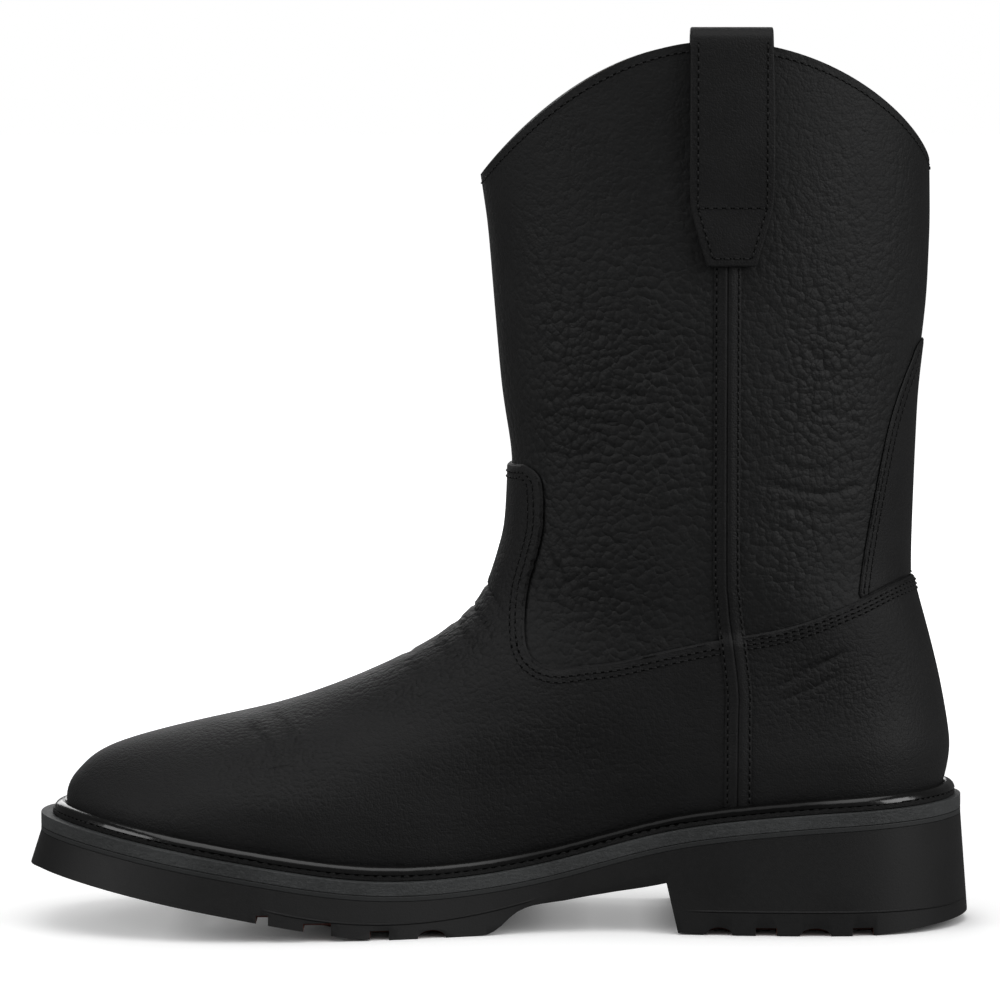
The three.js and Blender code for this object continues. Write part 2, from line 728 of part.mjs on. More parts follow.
function makeWelt() {
  const beadLevel = 0.36;
  const gap = overlay + 2 * clearance;
  const edge = gap + 2 * beadRadius + weltFlange;
  const low = (x) => soleTop(x) + clearance;
  const high = (x) => low(x) + weltThickness;
  const rings = arounds.map((around) => {
    const bead = upperPoint(beadLevel, around, gap + beadRadius);
    const out = outward(0, around);
    const arc = [0, 45, 90, 135, 180].map((degrees) => {
      const angle = THREE.MathUtils.degToRad(degrees);
      const point = bead.clone().addScaledVector(out, beadRadius * Math.cos(angle));
      point.z += beadRadius * Math.sin(angle);
      return point;
    });
    const flange = arc[0].clone();
    flange.z = high(flange.x);
    const inner = solePoint(around, gap, low);
    return [inner, solePoint(around, edge, low), solePoint(around, edge, high), flange, ...arc];
  });
  return ringSolid(rings.reverse());
}

function makeInsole() {
  const ring = (height) => arounds.map((at) => solePoint(at, -wall - clearance, height));
  const low = (x) => soleTop(x) + clearance;
  return loft([ring(low), ring((x) => low(x) + insoleThickness)]);
}

// Materials
function finish(color, roughness) {
  return new THREE.MeshStandardMaterial({ color, roughness, metalness: 0 });
}

const shaftLeather = finish(0x202020, 0.6);
const footLeather = finish(0x1e1e1f, 0.68);
const blackRubber = finish(0x212122, 0.55);
const greyRubber = finish(0x373939, 0.6);
const glossyWelt = finish(0x151515, 0.25);
const liningLeather = finish(0x3a342e, 0.8);

const boot = new THREE.Group();

function add(name, geometry, material) {
  const mesh = new THREE.Mesh(geometry, material);
  mesh.name = name;
  boot.add(mesh);
}

add("outsole", makeOutsole(), blackRubber);
add("slip_sole", makePlate(slipSoleDepth, slipSoleThickness), greyRubber);
add("midsole", makePlate(0, midsoleThickness), greyRubber);
add("welt", makeWelt(), glossyWelt);
add("insole", makeInsole(), liningLeather);
add("upper", makeUpper(), shaftLeather);
add("vamp", makeVamp(), footLeather);
add("counter", makeCounter(), footLeather);
add("back_stay", makeBackStay(), footLeather);
add("shaft_seam_inner", makeShaftSeam(1), shaftLeather);
add("shaft_seam_outer", makeShaftSeam(-1), shaftLeather);
add("foot_seam_inner", makeFootSeam(1), footLeather);
add("foot_seam_outer", makeFootSeam(-1), footLeather);
add("pull_strap_inner", makeStrap(1), shaftLeather);
add("pull_strap_outer", makeStrap(-1), shaftLeather);

export default boot;
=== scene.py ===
"""A western pull-on work boot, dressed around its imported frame.

The boot's own axes: +X points to the toe, +Y to the inner side of the foot and +Z up, in metres.
"""

import json
import math

import bpy
import numpy as np
from bpy.props import FloatProperty, FloatVectorProperty, IntProperty, PointerProperty
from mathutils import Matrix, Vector
from mathutils.bvhtree import BVHTree
from mathutils.kdtree import KDTree

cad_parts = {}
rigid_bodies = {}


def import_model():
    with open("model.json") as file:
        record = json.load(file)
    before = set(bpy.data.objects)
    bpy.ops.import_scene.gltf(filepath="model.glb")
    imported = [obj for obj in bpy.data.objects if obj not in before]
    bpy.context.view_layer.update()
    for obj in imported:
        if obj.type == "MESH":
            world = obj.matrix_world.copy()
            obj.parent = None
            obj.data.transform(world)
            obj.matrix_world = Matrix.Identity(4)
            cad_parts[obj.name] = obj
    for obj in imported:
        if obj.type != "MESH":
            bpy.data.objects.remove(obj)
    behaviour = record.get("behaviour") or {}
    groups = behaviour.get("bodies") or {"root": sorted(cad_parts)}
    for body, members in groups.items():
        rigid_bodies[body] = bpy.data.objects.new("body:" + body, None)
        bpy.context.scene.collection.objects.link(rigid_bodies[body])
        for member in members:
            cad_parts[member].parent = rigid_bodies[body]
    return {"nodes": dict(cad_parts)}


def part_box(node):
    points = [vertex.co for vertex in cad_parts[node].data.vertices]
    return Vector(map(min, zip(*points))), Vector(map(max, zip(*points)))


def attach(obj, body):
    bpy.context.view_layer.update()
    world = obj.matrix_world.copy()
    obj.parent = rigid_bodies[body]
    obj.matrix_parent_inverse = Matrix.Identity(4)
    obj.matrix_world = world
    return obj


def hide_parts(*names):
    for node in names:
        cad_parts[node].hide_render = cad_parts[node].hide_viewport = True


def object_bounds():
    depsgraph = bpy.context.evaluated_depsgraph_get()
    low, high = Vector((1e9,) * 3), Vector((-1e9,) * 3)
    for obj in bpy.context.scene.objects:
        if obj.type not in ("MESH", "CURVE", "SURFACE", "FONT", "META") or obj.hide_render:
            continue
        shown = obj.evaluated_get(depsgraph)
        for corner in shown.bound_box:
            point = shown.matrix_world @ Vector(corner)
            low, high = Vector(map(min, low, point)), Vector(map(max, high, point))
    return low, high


bl_info = {
    "name": "Western work boot",
    "version": (1, 0, 0),
    "blender": (4, 5, 0),
    "location": "View3D > Sidebar > Boot",
    "description": "Dresses the frame of a pull-on western work boot",
    "category": "Add Mesh",
}

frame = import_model()
cad_low, cad_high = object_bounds()

MM = 0.001
SIDES = {1: "inner", -1: "outer"}
SHARP = math.radians(50)
REACH = 0.12  # past the boot's widest place, on either side
SAME_PLACE = 0.001 * MM  # vertices nearer than this are one

# Outlines in side view: shares of the boot's length from its back, and of its height from the floor
VAMP_EDGE = (
    (0.5869, 0.5150), (0.4914, 0.5150), (0.4758, 0.5157), (0.4621, 0.5051), (0.4575, 0.4873),
    (0.4575, 0.4476), (0.4643, 0.4136), (0.4731, 0.3782), (0.4758, 0.3434), (0.4731, 0.3158),
    (0.4630, 0.3009), (0.4428, 0.2931), (0.4097, 0.2970), (0.3767, 0.3016), (0.3262, 0.3140),
    (0.2716, 0.3255), (0.2350, 0.3270),
)
COUNTER_EDGE = (
    (0.2800, 0.3300), (0.2424, 0.3310), (0.1885, 0.3427), (0.1288, 0.3654), (0.0683, 0.3881),
    (-0.0006, 0.3888),
)
STAY_EDGE = (
    (-0.0006, 0.6546), (0.0499, 0.6546), (0.0673, 0.6270), (0.0820, 0.5894), (0.0921, 0.5547),
    (0.1013, 0.5100), (0.1105, 0.4604), (0.1187, 0.4108), (0.1233, 0.3753),
)
SEAM_LINE = (
    (0.2509, -0.0003), (0.2509, 0.2265), (0.2509, 0.2676), (0.2569, 0.3215), (0.2624, 0.3704),
    (0.2647, 0.4604), (0.2647, 1.0629),
)


def along_length(share):
    return share * (cad_high.x - cad_low.x)


def along(share):
    """Place along the boot of a share of its length, from the back of the heel."""
    return cad_low.x + along_length(share)


def above(share):
    """Height over the floor of a share of the boot's height."""
    return share * cad_high.z


def in_side_view(rows):
    """The points of an outline's table, in metres."""
    return [Vector((along(at), above(up))) for at, up in rows]


def clamped(value):
    return min(max(value, 0), 1)


class BootSizes(bpy.types.PropertyGroup):
    """Lengths of the boot that a user may change."""

    smoothness: IntProperty(
        name="Smoothness", description="Levels of subdivision of the upper and the sole",
        default=2, min=1, max=3)
    vamp_thickness: FloatProperty(
        name="Vamp thickness", description="Leather of the vamp and the counter",
        default=1.4 * MM, unit="LENGTH")
    stay_thickness: FloatProperty(
        name="Stay thickness", description="Leather of the back stay",
        default=0.65 * MM, unit="LENGTH")
    seat_gap: FloatProperty(
        name="Seat gap", description="Gap between a piece and what carries it",
        default=0.25 * MM, unit="LENGTH")
    edge_round: FloatProperty(
        name="Edge rounding", description="How far in from its edge a panel is rounded",
        default=1.1 * MM, unit="LENGTH")
    seam_width: FloatProperty(
        name="Seam width", description="Width of the folded seam at the side",
        default=8.2 * MM, unit="LENGTH")
    seam_rise: FloatProperty(
        name="Seam rise", description="How far the folds of the side seam stand up",
        default=0.75 * MM, unit="LENGTH")
    stitch_pitch: FloatProperty(
        name="Stitch pitch", description="From one stitch to the next in the upper",
        default=2.55 * MM, unit="LENGTH")
    stitch_length: FloatProperty(
        name="Stitch length", description="Length of one stitch in the upper",
        default=2.0 * MM, unit="LENGTH")
    thread: FloatProperty(
        name="Thread", description="Thickness of the thread in the upper",
        default=0.62 * MM, unit="LENGTH")
    welt_pitch: FloatProperty(
        name="Welt stitch pitch", description="From one stitch to the next in the welt",
        default=3.1 * MM, unit="LENGTH")
    pebble: FloatProperty(
        name="Pebble size", description="Size of the grain's cells on the shaft",
        default=2.4 * MM, unit="LENGTH")
    fine_grain: FloatProperty(
        name="Fine grain size", description="Size of the grain's cells on the foot",
        default=1.5 * MM, unit="LENGTH")
    bead_swell: FloatProperty(
        name="Bead swell", description="How much thicker the bead is than the frame's",
        default=1.15 * MM, unit="LENGTH")
    lug_depth: FloatProperty(
        name="Lug depth", description="Depth of the cuts between the lugs",
        default=2.6 * MM, unit="LENGTH")


class BootColours(bpy.types.PropertyGroup):
    """Colours of the boot's materials."""

    shaft: FloatVectorProperty(
        name="Shaft leather", description="Pebbled leather of the shaft",
        default=(0.0096, 0.0098, 0.0100), subtype="COLOR", size=3, min=0, max=1)
    foot: FloatVectorProperty(
        name="Foot leather", description="Oiled leather of the vamp and the counter",
        default=(0.0085, 0.0085, 0.0088), subtype="COLOR", size=3, min=0, max=1)
    thread: FloatVectorProperty(
        name="Thread", description="Thread of all the seams",
        default=(0.006, 0.006, 0.006), subtype="COLOR", size=3, min=0, max=1)
    rubber: FloatVectorProperty(
        name="Outsole rubber", description="Rubber of the outsole",
        default=(0.011, 0.011, 0.0112), subtype="COLOR", size=3, min=0, max=1)
    tread: FloatVectorProperty(
        name="Tread recess", description="Rubber seen in the cuts between the lugs",
        default=(0.17, 0.065, 0.05), subtype="COLOR", size=3, min=0, max=1)
    midsole: FloatVectorProperty(
        name="Midsole", description="Grey rubber between upper and outsole",
        default=(0.050, 0.0522, 0.0528), subtype="COLOR", size=3, min=0, max=1)
    bead: FloatVectorProperty(
        name="Welt bead", description="Glossy bead around the upper",
        default=(0.006, 0.006, 0.006), subtype="COLOR", size=3, min=0, max=1)
    lining: FloatVectorProperty(
        name="Lining", description="Lining and insole",
        default=(0.05, 0.042, 0.034), subtype="COLOR", size=3, min=0, max=1)
    floor: FloatVectorProperty(
        name="Floor", description="Floor of the studio",
        default=(0.86, 0.86, 0.86), subtype="COLOR", size=3, min=0, max=1)


# Selection, modifiers and copies
def only(piece):
    """Makes a piece the one selected and active object, in object mode."""
    if bpy.context.object is not None and bpy.context.object.mode != "OBJECT":
        bpy.ops.object.mode_set(mode="OBJECT")
    bpy.ops.object.select_all(action="DESELECT")
    piece.select_set(True)
    bpy.context.view_layer.objects.active = piece


def edit(piece, kind="FACE"):
    """Opens a piece in edit mode with nothing selected."""
    only(piece)
    bpy.ops.object.mode_set(mode="EDIT")
    bpy.ops.mesh.select_mode(type=kind)
    bpy.ops.mesh.select_all(action="DESELECT")


def edit_all(piece):
    """Opens a piece in edit mode with all of it selected."""
    edit(piece)
    bpy.ops.mesh.select_all(action="SELECT")


def close():
    bpy.ops.object.mode_set(mode="OBJECT")


def apply_modifier(piece, kind, **settings):
    """Adds a modifier with these settings and applies it."""
    only(piece)
    bpy.ops.object.modifier_add(type=kind)
    modifier = piece.modifiers[-1]
    for name, value in settings.items():
        setattr(modifier, name, value)
    bpy.ops.object.modifier_apply(modifier=modifier.name)


def bevelled(piece, width, segments=2, angle=SHARP):
    """Rounds a piece's sharp edges."""
    apply_modifier(
        piece, "BEVEL", width=width, segments=segments, limit_method="ANGLE", angle_limit=angle)


def discard(piece):
    only(piece)
    bpy.ops.object.delete()


def linked(name, mesh):
    piece = bpy.data.objects.new(name, mesh)
    mesh.name = name
    bpy.context.scene.collection.objects.link(piece)
    return piece


def copy_of_node(node, name):
    """A merged copy of a frame node in quads, with its sharp edges marked and creased."""
    piece = linked(name, frame["nodes"][node].data.copy())
    piece.data.materials.clear()
    only(piece)
    bpy.ops.mesh.customdata_custom_splitnormals_clear()
    edit_all(piece)
    bpy.ops.mesh.remove_doubles(threshold=SAME_PLACE)
    bpy.ops.mesh.tris_convert_to_quads(
        face_threshold=math.pi, shape_threshold=math.pi, topology_influence=1.5)
    edit(piece, "EDGE")
    bpy.ops.mesh.edges_select_sharp(sharpness=SHARP)
    bpy.ops.mesh.mark_sharp()
    bpy.ops.transform.edge_crease(value=1.0)
    close()
    return piece


def smoothed(piece, levels):
    apply_modifier(piece, "SUBSURF", levels=levels, render_levels=levels)
    return piece


def select_faces(piece, wanted):
    """Selects the faces that a test picks, and opens the piece in edit mode."""
    edit(piece)
    close()
    for face in piece.data.polygons:
        face.select = wanted(face)
    bpy.ops.object.mode_set(mode="EDIT")


def patch_around(piece, seed):
    """Indices of the faces around one face, up to sharp edges."""
    select_faces(piece, lambda face: face.index == seed)
    bpy.ops.mesh.select_linked(delimit={"SHARP"})
    close()
    return {face.index for face in piece.data.polygons if face.select}


def coordinates(piece):
    flat = np.empty(len(piece.data.vertices) * 3)
    piece.data.vertices.foreach_get("co", flat)
    return flat.reshape(-1, 3)


def set_coordinates(piece, points):
    piece.data.vertices.foreach_set("co", points.ravel())
    piece.data.update()


def shade(piece, degrees=38):
    only(piece)
    bpy.ops.object.shade_smooth_by_angle(angle=math.radians(degrees))


def finish(piece, materials, slot, *nodes):
    """Gives a finished piece its materials by name and its body, and hides the frame nodes that it
    stands for.
    """
    faces = piece.data.polygons
    kinds = [min(face.material_index, len(materials) - 1) for face in faces]
    piece.data.materials.clear()
    for material in materials:
        piece.data.materials.append(material_for(material))
    faces.foreach_set("material_index", kinds)
    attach(piece, "root")
    if nodes:
        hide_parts(*nodes)


# Curves in side view
SPANS = 12  # how finely a smooth curve is followed between two of its points


def smooth_line(points, step):
    """A smooth curve through points, resampled at even steps."""
    ends = [2 * points[0] - points[1], *points, 2 * points[-1] - points[-2]]
    dense = []
    for before, start, end, after in zip(ends, ends[1:], ends[2:], ends[3:]):
        for i in range(SPANS):
            t = i / SPANS
            bend = 2 * before - 5 * start + 4 * end - after
            twist = -before + 3 * start - 3 * end + after
            dense.append(0.5 * (2 * start + (end - before) * t + bend * t * t + twist * t ** 3))
    dense.append(points[-1])
    return even_points(dense, step)


def even_points(line, step):
    """Points at even steps along a line, its ends among them."""
    path = np.array([tuple(point) for point in line])
    gaps = np.linalg.norm(np.diff(path, axis=0), axis=1)
    run = np.concatenate([[0], np.cumsum(gaps)])
    count = max(int(round(run[-1] / step)), 1)
    at = np.linspace(0, run[-1], count + 1)
    return [Vector([np.interp(s, run, column) for column in path.T]) for s in at]


def moved_line(line, distance):
    """A side-view line moved to its left by a distance."""
    moved = []
    for i, point in enumerate(line):
        tangent = (line[min(i + 1, len(line) - 1)] - line[max(i - 1, 0)]).normalized()
        moved.append(point + distance * Vector((-tangent.y, tangent.x)))
    return moved


def height_table(rows):
    """Position along the boot as a smooth function of height, from an outline's table."""
    line = smooth_line(in_side_view(rows), MM)
    heights = [point.y for point in line]
    places = [point.x for point in line]
    return lambda z: float(np.interp(z, heights, places))


seam_x = height_table(SEAM_LINE)


# Surfaces that other pieces lie on
def surface_of(piece, wanted=lambda face: True):
    """A search tree of a piece's faces, in triangles, or of those that a test picks."""
    mesh = piece.data
    mesh.calc_loop_triangles()
    points = [vertex.co.copy() for vertex in mesh.vertices]
    faces = [tuple(triangle.vertices) for triangle in mesh.loop_triangles
             if wanted(mesh.polygons[triangle.polygon_index])]
    return BVHTree.FromPolygons(points, faces)


def side_hit(tree, x, z, side):
    """Where a surface lies in side view, and its outward normal there, or None."""
    start = Vector((x, side * REACH, z))
    place, normal, _, _ = tree.ray_cast(start, Vector((0, -side, 0)))
    if place is None:
        return None
    return place, normal if normal.y * side > 0 else -normal


def shaft_axis():
    """Place along the boot of the shaft's middle, under the pull straps."""
    low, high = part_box("pull_strap_inner")
    return (low.x + high.x) / 2


def round_hit(tree, z, angle):
    """The same, seen from outside towards the shaft's axis. Angle 0 is the front."""
    out = Vector((math.cos(angle), math.sin(angle), 0))
    start = Vector((shaft_axis(), 0, z)) + out * 2.5 * REACH
    place, normal, _, _ = tree.ray_cast(start, -out)
    if place is None:
        return None
    return place, normal if normal.dot(out) > 0 else -normal


GRAZING = 0.3  # the least share of a normal across the boot where side view is used
ROUND_STEPS = 40  # from one side of the boot to the other, around its front or back


def side_row(tree, line, side):
    """Places and normals on one side of a surface, under a line in side view."""
    hits = [side_hit(tree, point.x, point.y, side) for point in line]
    return [hit for hit in hits if hit is not None and abs(hit[1].y) > GRAZING]


def row_round_end(tree, line, height, back=False):
    """A row along a side-view line on both sides, joined around the front or the back.

    The line starts at the end it is joined at, where the row has the given height.
    """
    inner, outer = (side_row(tree, line, side) for side in SIDES)
    first, last = inner[0][0], outer[0][0]
    start, end = (math.atan2(place.y, place.x - shaft_axis()) for place in (first, last))
    if back and end < 0:
        end += 2 * math.pi
    bridge = []
    for i in range(1, ROUND_STEPS):
        t = 2 * i / ROUND_STEPS - 1
        edge = first.z if t < 0 else last.z
        z = height + (edge - height) * t * t
        hit = round_hit(tree, z, start + (end - start) * i / ROUND_STEPS)
        if hit is not None:
            bridge.append(hit)
    return [*reversed(inner), *bridge, *outer]


# Stitches
THREAD_FACE = 0
HOLE_FACE = 1
HOLE_SIDES = 7
STITCH_LIFT = 0.03 * MM  # of a stitch's middle line over the leather


def stitch_form(length, width, rise):
    """Points and faces of one stitch along X, arched and sunk at both ends."""
    bpy.ops.object.select_all(action="DESELECT")
    bpy.ops.mesh.primitive_uv_sphere_add(segments=6, ring_count=6, radius=0.5)
    ball = bpy.context.object
    edit_all(ball)
    bpy.ops.transform.rotate(value=math.pi / 2, orient_axis="Y", center_override=(0, 0, 0))
    bpy.ops.transform.resize(value=(length, width, rise), center_override=(0, 0, 0))
    close()
    points = coordinates(ball)
    points[:, 2] += rise * (0.15 - 0.9 * (2 * points[:, 0] / length) ** 2)
    faces = [tuple(face.vertices) for face in ball.data.polygons]
    discard(ball)
    return points, faces


def hole_form(length, width):
    """Points and faces of the two low, dark rims round the ends of a stitch."""
    points, faces = [], []
    for end in (-0.5, 0.5):
        first = len(points)
        points.append((end * length, 0, 0.12 * width))
        for turn in np.linspace(0, 2 * math.pi, HOLE_SIDES, endpoint=False):
            x = end * length + 0.75 * width * math.cos(turn)
            points.append((x, 0.62 * width * math.sin(turn), -0.1 * width))
        for i in range(HOLE_SIDES):
            faces.append((first, first + 1 + i, first + 1 + (i + 1) % HOLE_SIDES))
        faces.append(tuple(first + 1 + i for i in reversed(range(HOLE_SIDES))))
    return np.array(points), faces


def even_row(row, pitch):
    """Middles, directions and normals of the stitches along a row of (place, normal)."""
    places = np.array([tuple(place) for place, _ in row])
    normals = np.array([tuple(normal) for _, normal in row])
    gaps = np.linalg.norm(np.diff(places, axis=0), axis=1)
    keep = np.concatenate([[True], gaps > SAME_PLACE])
    places, normals = places[keep], normals[keep]
    run = np.concatenate([[0], np.cumsum(np.linalg.norm(np.diff(places, axis=0), axis=1))])
    count = int(run[-1] / pitch)
    middles = (np.arange(count) + 0.5) * run[-1] / max(count, 1)

    def sample(values, at):
        return np.stack([np.interp(at, run, column) for column in values.T], axis=1)

    ahead = sample(places, middles + 0.4 * pitch) - sample(places, middles - 0.4 * pitch)
    return sample(places, middles), ahead, sample(normals, middles)


def sew(name, rows, pitch, length, width, slot):
    """Makes one piece of all the stitches along rows of (place, normal)."""
    form, faces = stitch_form(length, width, width)
    holes, hole_faces = hole_form(length, width)
    kinds = [THREAD_FACE] * len(faces) + [HOLE_FACE] * len(hole_faces)
    faces = faces + [tuple(len(form) + i for i in face) for face in hole_faces]
    form = np.concatenate([form, holes])
    points, polygons = [], []
    for row in rows:
        for middle, ahead, up in zip(*even_row(row, pitch)):
            ahead = ahead / np.linalg.norm(ahead)
            across = np.cross(up, ahead)
            across = across / np.linalg.norm(across)
            up = np.cross(ahead, across)
            first = len(points) * len(form)
            polygons.extend(tuple(first + i for i in face) for face in faces)
            points.append(form @ np.array([ahead, across, up]) + middle + up * STITCH_LIFT)
    mesh = bpy.data.meshes.new(name)
    mesh.from_pydata(np.concatenate(points).tolist(), [], polygons)
    mesh.polygons.foreach_set("material_index", kinds * len(points))
    stitches = linked(name, mesh)
    shade(stitches, 80)
    finish(stitches, ["thread", "stitch_hole"], slot)


# Creases: side of the boot or 0 for both, points in side view, width and depth in millimetres
CREASES = (
    (0, ((0.345, 0.595), (0.40, 0.600), (0.455, 0.590)), 2.6, 0.63),
    (0, ((0.350, 0.572), (0.40, 0.566), (0.47, 0.574)), 2.4, 0.54),
    (0, ((0.330, 0.553), (0.375, 0.558), (0.430, 0.545)), 2.2, 0.51),
    (0, ((0.290, 0.560), (0.320, 0.568), (0.350, 0.562)), 2.2, 0.42),
    (0, ((0.385, 0.540), (0.430, 0.527), (0.462, 0.535)), 2.6, 0.45),
    (1, ((0.130, 0.600), (0.155, 0.620), (0.185, 0.655)), 2.6, 0.54),
    (1, ((0.150, 0.660), (0.170, 0.625), (0.182, 0.585)), 2.4, 0.45),
    (1, ((0.115, 0.560), (0.150, 0.575), (0.190, 0.572)), 2.4, 0.42),
    (0, ((0.115, 0.498), (0.165, 0.487), (0.235, 0.503)), 3.0, 0.68),
    (0, ((0.118, 0.470), (0.160, 0.463), (0.215, 0.478)), 2.8, 0.51),
    (0, ((0.135, 0.520), (0.175, 0.514), (0.225, 0.525)), 2.4, 0.42),
    (-1, ((0.140, 0.635), (0.170, 0.610), (0.200, 0.615)), 2.8, 0.54),
    (-1, ((0.130, 0.590), (0.165, 0.573), (0.205, 0.580)), 2.6, 0.45),
    (0, ((0.452, 0.425), (0.440, 0.400), (0.425, 0.375)), 3.0, 0.54),
    (0, ((0.462, 0.398), (0.450, 0.372), (0.432, 0.350)), 3.0, 0.51),
    (0, ((0.450, 0.452), (0.432, 0.425), (0.413, 0.402)), 2.8, 0.39),
    (0, ((0.515, 0.385), (0.500, 0.358), (0.490, 0.345)), 2.6, 0.85),
    (0, ((0.533, 0.365), (0.517, 0.338), (0.505, 0.325)), 2.6, 0.85),
    (0, ((0.552, 0.350), (0.535, 0.322), (0.522, 0.305)), 2.8, 0.85),
    (0, ((0.575, 0.335), (0.558, 0.308), (0.542, 0.290)), 2.8, 0.68),
    (0, ((0.610, 0.316), (0.592, 0.292), (0.580, 0.270)), 3.2, 0.51),
    (0, ((0.220, 0.270), (0.180, 0.290), (0.130, 0.318)), 3.4, 0.63),
    (0, ((0.215, 0.255), (0.175, 0.272), (0.135, 0.292)), 3.2, 0.45),
    (0, ((0.205, 0.288), (0.165, 0.302), (0.138, 0.318)), 2.8, 0.39),
    (0, ((0.765, 0.225), (0.745, 0.205), (0.735, 0.185)), 4.0, 0.39),
    (0, ((0.740, 0.238), (0.722, 0.215), (0.712, 0.190)), 4.0, 0.33),
)


def crease_curve(line):
    """Points close together along a crease, in side view."""
    return np.array([tuple(point) for point in smooth_line(in_side_view(line), 1.5 * MM)])


def refine_creases(piece):
    """Divides the outer faces near a crease more finely."""
    outside = outer_faces(piece)
    centres = np.array([tuple(piece.data.polygons[i].center) for i in outside])
    near = np.zeros(len(outside), bool)
    for side, line, width, _ in CREASES:
        gaps = centres[:, None, [0, 2]] - crease_curve(line)[None, :, :]
        close_by = np.linalg.norm(gaps, axis=2).min(axis=1) < 1.7 * width * MM
        if side:
            close_by &= np.sign(centres[:, 1]) == side
        near |= close_by
    chosen = {index for index, wanted in zip(outside, near) if wanted}
    select_faces(piece, lambda face: face.index in chosen)
    bpy.ops.mesh.subdivide(number_cuts=2)
    bpy.ops.mesh.vertices_smooth(factor=0.5, repeat=2)
    close()


def creased(piece, faces):
    """Presses the creases into the vertices of these faces, as soft troughs between ridges."""
    points = coordinates(piece)
    normals = np.array([tuple(vertex.normal) for vertex in piece.data.vertices])
    inside = np.zeros(len(points), bool)
    for face in faces:
        inside[list(piece.data.polygons[face].vertices)] = True
    for side, line, width, depth in CREASES:
        curve = crease_curve(line)
        gaps = points[:, None, [0, 2]] - curve[None, :, :]
        distances = np.linalg.norm(gaps, axis=2)
        nearest = distances.argmin(axis=1)
        share = nearest / (len(curve) - 1)
        fade = np.clip(np.minimum(share, 1 - share) * 5, 0, 1)
        fade = fade * fade * (3 - 2 * fade)
        across = distances.min(axis=1) / (width * MM / 2)
        form = (1 - 0.8 * across ** 2) * np.exp(-across ** 2)
        here = inside & (across < 4)
        if side:
            here &= np.sign(points[:, 1]) == side
        move = np.where(here, -depth * MM * form * fade, 0)
        points += normals * move[:, None]
    set_coordinates(piece, points)


# Patches of strong grain
GRAIN_FIELD = (
    # along, above, reach along, reach above, strength
    (0.36, 0.58, 0.13, 0.20, 1.5),
    (0.17, 0.60, 0.10, 0.17, 1.0),
    (0.38, 0.40, 0.10, 0.12, 1.3),
    (0.20, 0.44, 0.10, 0.10, 0.9),
    (0.30, 0.80, 0.18, 0.10, 0.45),
    (0.13, 0.78, 0.08, 0.14, 0.45),
)
FOOT_GRAIN_FIELD = (
    (0.735, 0.205, 0.08, 0.05, 0.9),
    (0.545, 0.325, 0.06, 0.07, 1.2),
    (0.60, 0.27, 0.07, 0.04, 0.9),
    (0.44, 0.22, 0.12, 0.09, 0.6),
    (0.50, 0.40, 0.05, 0.08, 0.6),
    (0.17, 0.28, 0.09, 0.06, 0.8),
)


def paint_grain(piece, field, least):
    """Stores how strong the grain is at each vertex, from soft patches in side view."""
    points = coordinates(piece)
    strength = np.full(len(points), least)
    for at, up, wide, high, value in field:
        near = ((points[:, 0] - along(at)) / along_length(wide)) ** 2
        near += ((points[:, 2] - above(up)) / above(high)) ** 2
        strength = np.maximum(strength, least + (value - least) * np.exp(-near))
    attribute = piece.data.attributes.new("grain", "FLOAT", "POINT")
    attribute.data.foreach_set("value", strength.astype(np.float32))


# Node trees
def add_node(tree, kind, inputs=None, **settings):
    """Adds a node; an input's value is a number, a colour or the socket that feeds it."""
    node = tree.nodes.new(kind)
    for name, value in settings.items():
        setattr(node, name, value)
    for name, value in (inputs or {}).items():
        if isinstance(value, bpy.types.NodeSocket):
            tree.links.new(value, node.inputs[name])
        else:
            node.inputs[name].default_value = value
    return node


def math_node(tree, operation, first, second=None, clamp=False):
    inputs = {0: first} if second is None else {0: first, 1: second}
    node = add_node(tree, "ShaderNodeMath", inputs, operation=operation, use_clamp=clamp)
    return node.outputs[0]


def stepped(tree, value, low, high, to_low=0.0, to_high=1.0):
    """A smooth step of a value between two limits."""
    node = add_node(
        tree, "ShaderNodeMapRange",
        {"Value": value, "From Min": low, "From Max": high, "To Min": to_low, "To Max": to_high},
        interpolation_type="SMOOTHSTEP")
    return node.outputs["Result"]


def mixed(tree, factor, first, second):
    node = add_node(tree, "ShaderNodeMix", data_type="RGBA")
    for index, value in ((0, factor), (6, first), (7, second)):
        if isinstance(value, bpy.types.NodeSocket):
            tree.links.new(value, node.inputs[index])
        else:
            node.inputs[index].default_value = value
    return node.outputs[2]


def rgba(colour, gain=1.0):
    return (*[min(part * gain, 1.0) for part in colour], 1.0)


def new_group(name, inputs, outputs):
    """A shader node group with named float or colour sockets."""
    group = bpy.data.node_groups.new(name, "ShaderNodeTree")
    for label, kind, default in inputs:
        socket = group.interface.new_socket(label, in_out="INPUT", socket_type=kind)
        socket.default_value = default
    for label, kind in outputs:
        group.interface.new_socket(label, in_out="OUTPUT", socket_type=kind)
    start = group.nodes.new("NodeGroupInput")
    end = group.nodes.new("NodeGroupOutput")
    return group, start.outputs, end


FLOAT = "NodeSocketFloat"
COLOUR = "NodeSocketColor"


